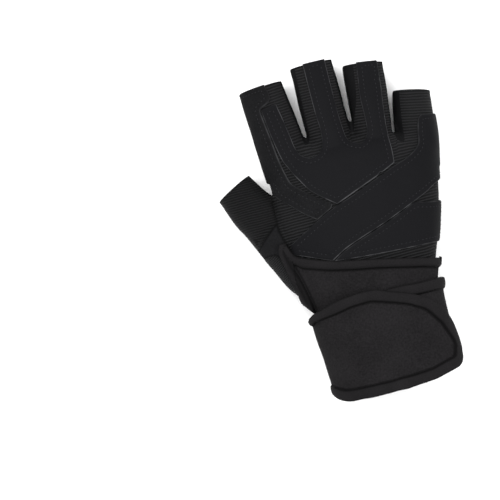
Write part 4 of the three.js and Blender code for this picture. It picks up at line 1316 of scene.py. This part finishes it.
def build_palm_panel():
    piece = copy_of(hand_shell(), "palm_suede")
    cut(piece, seam_prism(False, 0), "INTERSECT")
    cut(piece, cut(thumb_room(), thumb_low(), "INTERSECT"), "DIFFERENCE")
    for name in SIDE_PANELS:
        cut(piece, cut(side_room(name, SEAM_OVERLAP[1]), side_low(), "INTERSECT"), "DIFFERENCE")
    finish_piece(piece, "palm_panel", [suede_material()])


def build_back_panel():
    piece = copy_of(hand_shell(), "back_knit")
    cut(piece, seam_prism(True, 0), "INTERSECT")
    cut(piece, thumb_room(), "DIFFERENCE")
    for name in SIDE_PANELS:
        cut(piece, side_room(name, SEAM_OVERLAP[0]), "DIFFERENCE")
    finish_piece(piece, "back_panel", [knit_material()])
    rib_attribute(piece)
    seam_shade(piece, [THUMB_SEAM])


def build_side_cloths():
    for name in SIDE_PANELS:
        piece = copy_of(hand_shell(), name.replace("side_cloth", "gusset"))
        cut(piece, side_room(name, SEAM_OVERLAP[1]), "INTERSECT")
        cut(piece, side_low(), "INTERSECT")
        finish_piece(piece, name, [side_material()])


def build_thumb_cloths():
    upper = copy_of(hand_shell(), "thumb_upper")
    cut(upper, thumb_room(), "INTERSECT")
    cut(upper, thumb_low(), "INTERSECT")
    tip = [(100, 400), (-150, 400)]
    heel = [(-150, 0.2 * mm("hand_length")), (-150, 0.449 * mm("hand_length"))]
    knit = copy_of(upper, "thumb_knit")
    cut(knit, line_room(THUMB_JOIN, tip), "INTERSECT")
    finish_piece(knit, "thumb_panel", [knit_material()])
    rib_attribute(knit, THUMB_TIGHT)
    seam_shade(knit, [THUMB_SEAM, THUMB_JOIN], 0.68)
    strip = copy_of(upper, "heel_knit_strip")
    cut(strip, line_room(THUMB_JOIN, tip), "DIFFERENCE")
    cut(strip, line_room(HEEL_JOIN, heel), "INTERSECT")
    finish_piece(strip, "heel_side_strip", [knit_material()])
    co = vertex_array(strip) / MM - shift()
    along = co[:, 1] * math.cos(HEEL_TILT) - co[:, 0] * math.sin(HEEL_TILT)
    put_values(strip, "rib", along * HEEL_TIGHT)
    gusset = copy_of(upper, "thumb_gusset_suede")
    cut(gusset, line_room(THUMB_JOIN, tip), "DIFFERENCE")
    cut(gusset, line_room(HEEL_JOIN, heel), "DIFFERENCE")
    finish_piece(gusset, "thumb_gusset", [suede_material()])
    for obj in (strip, gusset):
        seam_shade(obj, [THUMB_SEAM, THUMB_JOIN, HEEL_JOIN], 1.1)
    drop(upper)


# Straps
def strap_stitches(poly, place, level):
    """Stitches along the inside of a strap's edge, left out where the line would cross itself."""
    poly = anticlockwise(poly)
    line = inset(poly, STITCH_INSET)
    good = inside(line, poly) & (edge_distance(line, poly) > STITCH_INSET * 0.9)
    runs, run = [], []
    for p, ok in zip(np.vstack([line, line[:1]]), np.r_[good, good[:1]]):
        if ok:
            run.append(p)
        elif run:
            runs.append(run)
            run = []
    if run:
        runs.append(run)
    for run in runs:
        if len(run) > 3:
            stitch_line(np.array(run), place, level)


def build_straps():
    thick = mm("strap_thickness")
    jobs = [
        # solid, outline, sharp corners, slot, material, how light the cut edge shows, painted highlight
        # included
        ("knuckle_strap", KNUCKLE_STRAP, KNUCKLE_SHARP, "strap", strap_material, 0.8),
        ("diagonal_strap", DIAGONAL_STRAP, DIAGONAL_SHARP, "strap", strap_material, 0.8),
        ("side_strap", SIDE_STRAP, SIDE_SHARP, "strap", strap_material, 0.8),
        ("index_side_panel", INDEX_SIDE, INDEX_SHARP, "suede", suede_material, 0.4),
    ]
    for name, rows, sharp, slot, material, cut_edge_light in jobs:
        poly = unrolled(keep_on_fingers(outline(rows, sharp)))
        made = name.replace("strap", "leather").replace("panel", "suede")
        piece = patch(made, poly, on_back, GAP, thick, cut_edge_light=cut_edge_light)
        finish_piece(piece, name, [material()])
        strap_stitches(poly, on_back, GAP + thick * 0.9)
    stitches_done("strap_stitching")


def keep_on_fingers(poly):
    """Stops an outline just past the finger ends."""
    tables = finger_tables()
    result = []
    for x, y in poly:
        for name, (low, high) in FINGER_OF.items():
            if low <= x < high:
                cx, cy, _, turn = tables[name][-1][:4]
                y = min(y, cy + (x - cx) * math.tan(turn) + 1.2)
        result.append((x, y))
    return np.array(result)


# Cuff
def build_cuff():
    top, side = line_of(CUFF_TOP, 1.2), line_of(CUFF_SIDE, 1.2)
    thick = mm("cuff_thickness")
    right = float(np.interp(60, *HAND["right"])) + 20
    poly = np.vstack([top, [(right, CUFF_LOW)], [(side[-1][0], CUFF_LOW)], side[::-1][:-1]])
    poly = unrolled(poly[poly[:, 1] > CUFF_LOW - 0.1], False)
    piece = patch("cuff_flap", poly, on_cuff, GAP, thick, rows=CUFF_ROWS, shade_line=CUFF_SHADE_LINE)
    there = [(u, RING_SPAN[0]) for u in np.arange(-RING_HALF, RING_HALF + 0.1, 2)]
    back = [(u, RING_SPAN[1]) for u in np.arange(RING_HALF, -RING_HALF - 0.1, -2)]
    ring = np.array(there + back)
    join([piece, patch("cuff_ring", ring, on_wrist, GAP, thick, rows=RING_ROWS, spacing=2.2)])
    piece.name = "wrist_band"
    put_values(piece, "cut_edge_and_highlight", np.zeros(len(piece.data.vertices)))
    finish_piece(piece, "cuff_band", [cuff_material()])
    base = GAP + thick
    high = base + GAP + mm("tape_thickness")
    line = unrolled(top[::-1], False)
    tape("cuff_top", line, on_cuff, tape_shape(CUFF_TOP_TAPE, base, high, GAP))
    line = unrolled(side[side[:, 1] > 42], False)
    # The side tape's eighth section point, on its crown, gets a line of painted shade along the tape.
    tape("cuff_side", line, on_cuff, tape_shape(CUFF_SIDE_TAPE, base, high - 0.05, GAP), 7)


def join(objects):
    """Joins the later objects into the first."""
    first = objects[0]
    with bpy.context.temp_override(active_object=first, selected_editable_objects=objects, object=first):
        bpy.ops.object.join()
    return first


# Wrap
def lies_at(u, v, height):
    """How far across a point round the wrist lies."""
    point, normal = on_wrist(u, v)
    return point.x + normal.x * height


def wrap_turn(x, v, height, middle):
    """The distance round the wrist at which a layer of that height lies at x on the back."""
    low, high = middle - 1.5 * WRIST_ROUND, middle + 1.5 * WRIST_ROUND
    for _ in range(14):
        u = (low + high) / 2
        if lies_at(u, v, height) < x:
            low = u
        else:
            high = u
    return (low + high) / 2


def turn_of(degrees):
    return math.radians(degrees) * WRIST_ROUND


def wrap_level(u, v):
    """Height of the strap's underside: it climbs over its own start and flares at the thumb side."""
    degrees = math.degrees(u / WRIST_ROUND)
    flare = math.exp(-(((degrees - WRAP_RISE[1]) / 35) ** 2)) * 1.5 * max(0, v / 47) ** 2
    base = GAP + mm("cuff_thickness") + GAP + flare
    t = min(1.0, max(0.0, (degrees - WRAP_RISE[0]) / (WRAP_RISE[1] - WRAP_RISE[0])))
    return base + (mm("wrap_thickness") + GAP) * t * t * (3 - 2 * t)


def wrap_lines():
    """The strap's top and low edges and its rounded end, by distance round the wrist."""
    thick = mm("wrap_thickness")
    flap = wrap_level(turn_of(360), 0) + thick
    top_line, low_line = [], []
    for degrees in np.arange(WRAP_START, 271, 2.0):
        u = turn_of(degrees)
        x = lies_at(u, 30.0, wrap_level(u, 0) + thick)
        under, palm, end = [float(np.interp(x, *table_of(rows).T))
                            for rows in (WRAP_UNDER_TOP, WRAP_PALM_TOP, WRAP_END_TOP)]
        first = np.interp(degrees, [80, 100], [0, 1])
        second = np.interp(degrees, [225, 272], [0, 1])
        top_line.append((u, (under * (1 - first) + palm * first) * (1 - second) + end * second))
    for x, y in line_of(WRAP_END_TOP, 1.3):
        u = wrap_turn(x, y, flap, turn_of(360))
        if u > turn_of(273):
            top_line.append((u, y))
    corner = [(wrap_turn(x, y, flap, turn_of(360)), y) for x, y in line_of(WRAP_CORNER, 1.2)]
    for degrees in np.arange(WRAP_START, WRAP_END, 2.0):
        u = turn_of(degrees)
        if u < corner[-1][0] - 0.8:
            x = lies_at(u, 3.0, wrap_level(u, 0) + thick)
            low_line.append((u, float(np.interp(x, *table_of(WRAP_LOW).T))))
    return evened(np.array(top_line)), evened(np.array(low_line)), np.array(corner)


def evened(line):
    for _ in range(3):
        line[1:-1] = (line[:-2] + 2 * line[1:-1] + line[2:]) / 4
    return line


def wrap_tape_shape(width):
    """Section of the wrap's tape, whose heights follow the strap."""
    thick = mm("wrap_thickness")
    flat = tape_shape(width, thick, thick + GAP + mm("tape_thickness"), 0.0)
    return [(t, (lambda u, v, h=h: wrap_level(u, v) + h)) for t, h in flat]


def build_wrap():
    top, low, corner = wrap_lines()
    poly = np.vstack([low, corner[::-1], top[::-1]])
    piece = patch("wrist_wrap_strap", poly, on_wrist, wrap_level, mm("wrap_thickness"), spacing=1.7,
                  rows=WRAP_ROWS, shade_line=WRAP_SHADE_LINE)
    put_values(piece, "cut_edge_and_highlight", np.zeros(len(piece.data.vertices)))
    finish_piece(piece, "wrist_wrap", [cuff_material()])
    right, left = turn_of(90), turn_of(269)
    end = np.vstack([low[low[:, 0] > left], corner[::-1], top[top[:, 0] > left][::-1]])
    tape("wrap_end", spline(end[::2], 1.2), on_wrist, wrap_tape_shape(WRAP_END_TAPE))
    under = top[(top[:, 0] < right) & (top[:, 0] > turn_of(8))]
    tape("wrap_under", under[::-1], on_wrist, wrap_tape_shape(WRAP_TAPE))
    palm_top = top[(top[:, 0] >= right) & (top[:, 0] <= left)]
    tape("wrap_palm_top", palm_top[::-1], on_wrist, wrap_tape_shape(WRAP_TAPE))
    palm_low = low[(low[:, 0] >= turn_of(84)) & (low[:, 0] <= left)]
    tape("wrap_palm_low", palm_low, on_wrist, wrap_tape_shape(WRAP_LOW_TAPE))


# Palm side
def turned(middle, across, along, angle):
    """A point at distances across and along from a middle, turned by an angle."""
    c, s = math.cos(angle), math.sin(angle)
    return (middle[0] + across * c - along * s, middle[1] + across * s + along * c)


def print_pad(name, poly, spacing=1.4):
    piece = patch(name + "_silicone", poly, on_palm, GAP, PAD_HEIGHT, spacing, PAD_ROWS, dome, True)
    finish_piece(piece, name, [grip_material()])


def build_pads():
    for name, rows in GRIP_PADS.items():
        print_pad(name, outline(rows, (), 0.8))
    for name, across, along, turn in GRIP_DOTS:
        rim = [2 * math.pi * k / DOT_FACETS for k in range(DOT_FACETS)]
        poly = [turned(plan((across, along)), DOT_RADII[0] * math.cos(a), DOT_RADII[1] * math.sin(a),
                       math.radians(turn)) for a in rim]
        print_pad(name, np.array(poly), 1.2)


def build_tabs():
    for name, across, along, turn in PULL_TABS:
        angle = math.radians(turn)
        top = turned(plan((across, along)), 0, -TAB_INSET, angle)
        points = [turned(top, TAB_HALF, 0, angle), turned(top, -TAB_HALF, 0, angle)]
        for k in range(13):
            bend = math.pi - math.pi * k / 12
            down = TAB_LENGTH - TAB_HALF + TAB_HALF * math.sin(bend)
            points.append(turned(top, TAB_HALF * math.cos(bend), -down, angle))
        poly = spline(points, 0.9, True, (0, 1, 2, 14))
        piece = patch(name + "_suede", poly, on_palm, GAP, mm("strap_thickness"), reverse=True)
        finish_piece(piece, name, [suede_material()])


# Stage
def build_stage():
    scene = bpy.context.scene
    scene.view_settings.view_transform = "Standard"
    mesh = bpy.data.meshes.new("floor")
    corners = [(x * FLOOR_HALF, y * FLOOR_HALF, 0) for x, y in ((-1, -1), (1, -1), (1, 1), (-1, 1))]
    mesh.from_pydata(corners, [], [(0, 1, 2, 3)])
    floor = bpy.data.objects.new("floor", mesh)
    scene.collection.objects.link(floor)
    material, tree, shader = start_material("white_paper")
    where = node(tree, "ShaderNodeTexCoord").outputs["Object"]
    fine = node(tree, "ShaderNodeTexNoise", {"Vector": where}, Scale=400.0, Detail=2.0)
    paper = mix(tree, fine.outputs[0], shade(colours().floor, 0.98), shade(colours().floor, 1.0))
    tree.links.new(paper, shader.inputs["Base Color"])
    surface(shader, 0.9, 0.1)
    mesh.materials.append(material)
    world = bpy.data.worlds.new("studio")
    world.use_nodes = True
    background = world.node_tree.nodes["Background"]
    background.inputs["Color"].default_value = (1, 1, 1, 1)
    background.inputs["Strength"].default_value = 1.05
    scene.world = world
    for name, place, width, power in LIGHTS:
        data = bpy.data.lights.new(name, "AREA")
        data.energy = power
        data.size = width
        light = bpy.data.objects.new(name, data)
        light.location = place
        light.rotation_euler = (-Vector(place)).to_track_quat("-Z", "Y").to_euler()
        scene.collection.objects.link(light)
    move = shift()
    camera_data = bpy.data.cameras.new("camera")
    camera_data.lens = LENS
    camera_data.sensor_width = SENSOR
    camera = bpy.data.objects.new("camera", camera_data)
    distance = IMAGE_WIDTH * MM * LENS / SENSOR
    x, y = (IMAGE_CENTRE[0] + move[0]) * MM, (IMAGE_CENTRE[1] + move[1]) * MM
    camera.location = (x, y, distance + GLOVE_MIDDLE)
    camera.rotation_euler = (0, 0, math.radians(-IMAGE_ROLL))
    scene.collection.objects.link(camera)
    scene.camera = camera


class GLOVE_OT_palm(bpy.types.Operator):
    """Builds the suede palm."""

    bl_idname = "glove.palm"
    bl_label = "Palm panel"
    bl_options = {"REGISTER", "UNDO"}

    def execute(self, context):
        prepare()
        build_palm_panel()
        return {"FINISHED"}


class GLOVE_OT_back(bpy.types.Operator):
    """Builds the ribbed back."""

    bl_idname = "glove.back"
    bl_label = "Back panel"
    bl_options = {"REGISTER", "UNDO"}

    def execute(self, context):
        prepare()
        build_back_panel()
        return {"FINISHED"}


class GLOVE_OT_sides(bpy.types.Operator):
    """Builds the cloth between the fingers."""

    bl_idname = "glove.sides"
    bl_label = "Side cloths"
    bl_options = {"REGISTER", "UNDO"}

    def execute(self, context):
        prepare()
        build_side_cloths()
        return {"FINISHED"}


class GLOVE_OT_thumb(bpy.types.Operator):
    """Builds the thumb's cloth."""

    bl_idname = "glove.thumb"
    bl_label = "Thumb cloths"
    bl_options = {"REGISTER", "UNDO"}

    def execute(self, context):
        prepare()
        build_thumb_cloths()
        return {"FINISHED"}


class GLOVE_OT_straps(bpy.types.Operator):
    """Builds the stitched straps."""

    bl_idname = "glove.straps"
    bl_label = "Straps"
    bl_options = {"REGISTER", "UNDO"}

    def execute(self, context):
        prepare()
        build_straps()
        return {"FINISHED"}


class GLOVE_OT_cuff(bpy.types.Operator):
    """Builds the wrist band and its tapes."""

    bl_idname = "glove.cuff"
    bl_label = "Cuff"
    bl_options = {"REGISTER", "UNDO"}

    def execute(self, context):
        prepare()
        build_cuff()
        return {"FINISHED"}


class GLOVE_OT_wrap(bpy.types.Operator):
    """Builds the wound strap and its tapes."""

    bl_idname = "glove.wrap"
    bl_label = "Wrap"
    bl_options = {"REGISTER", "UNDO"}

    def execute(self, context):
        prepare()
        build_wrap()
        return {"FINISHED"}


class GLOVE_OT_pads(bpy.types.Operator):
    """Builds the printed grip pads."""

    bl_idname = "glove.pads"
    bl_label = "Grip pads"
    bl_options = {"REGISTER", "UNDO"}

    def execute(self, context):
        prepare()
        build_pads()
        return {"FINISHED"}


class GLOVE_OT_tabs(bpy.types.Operator):
    """Builds the pull tabs."""

    bl_idname = "glove.tabs"
    bl_label = "Pull tabs"
    bl_options = {"REGISTER", "UNDO"}

    def execute(self, context):
        prepare()
        build_tabs()
        return {"FINISHED"}


class GLOVE_OT_stage(bpy.types.Operator):
    """Builds the floor, lights and camera."""

    bl_idname = "glove.stage"
    bl_label = "Stage"
    bl_options = {"REGISTER", "UNDO"}

    def execute(self, context):
        build_stage()
        return {"FINISHED"}


OPERATORS = [
    GLOVE_OT_palm,
    GLOVE_OT_back,
    GLOVE_OT_sides,
    GLOVE_OT_thumb,
    GLOVE_OT_straps,
    GLOVE_OT_cuff,
    GLOVE_OT_wrap,
    GLOVE_OT_pads,
    GLOVE_OT_tabs,
    GLOVE_OT_stage,
]


class GLOVE_PT_panel(bpy.types.Panel):
    """The glove's operators in the sidebar."""

    bl_label = "Weightlifting Glove"
    bl_idname = "GLOVE_PT_panel"
    bl_space_type = "VIEW_3D"
    bl_region_type = "UI"
    bl_category = "Glove"

    def draw(self, context):
        for made in OPERATORS:
            self.layout.operator(made.bl_idname)


CLASSES = [GloveSizes, GloveColours, *OPERATORS, GLOVE_PT_panel]


def register():
    for made in CLASSES:
        bpy.utils.register_class(made)
    bpy.types.Scene.glove_sizes = bpy.props.PointerProperty(type=GloveSizes)
    bpy.types.Scene.glove_colours = bpy.props.PointerProperty(type=GloveColours)


def unregister():
    del bpy.types.Scene.glove_sizes
    del bpy.types.Scene.glove_colours
    for made in reversed(CLASSES):
        bpy.utils.unregister_class(made)


def clean_up():
    """Removes the forms that the pieces were cut from."""
    for key in ("form", "shell"):
        if key in HAND:
            drop(HAND.pop(key))


def main():
    register()
    glove = bpy.ops.glove
    for step in (glove.palm, glove.back, glove.sides, glove.thumb, glove.straps, glove.cuff, glove.wrap,
                 glove.pads, glove.tabs, glove.stage):
        if step() != {"FINISHED"}:
            raise RuntimeError("a step did not finish")
    clean_up()


if __name__ == "__main__":
    main()
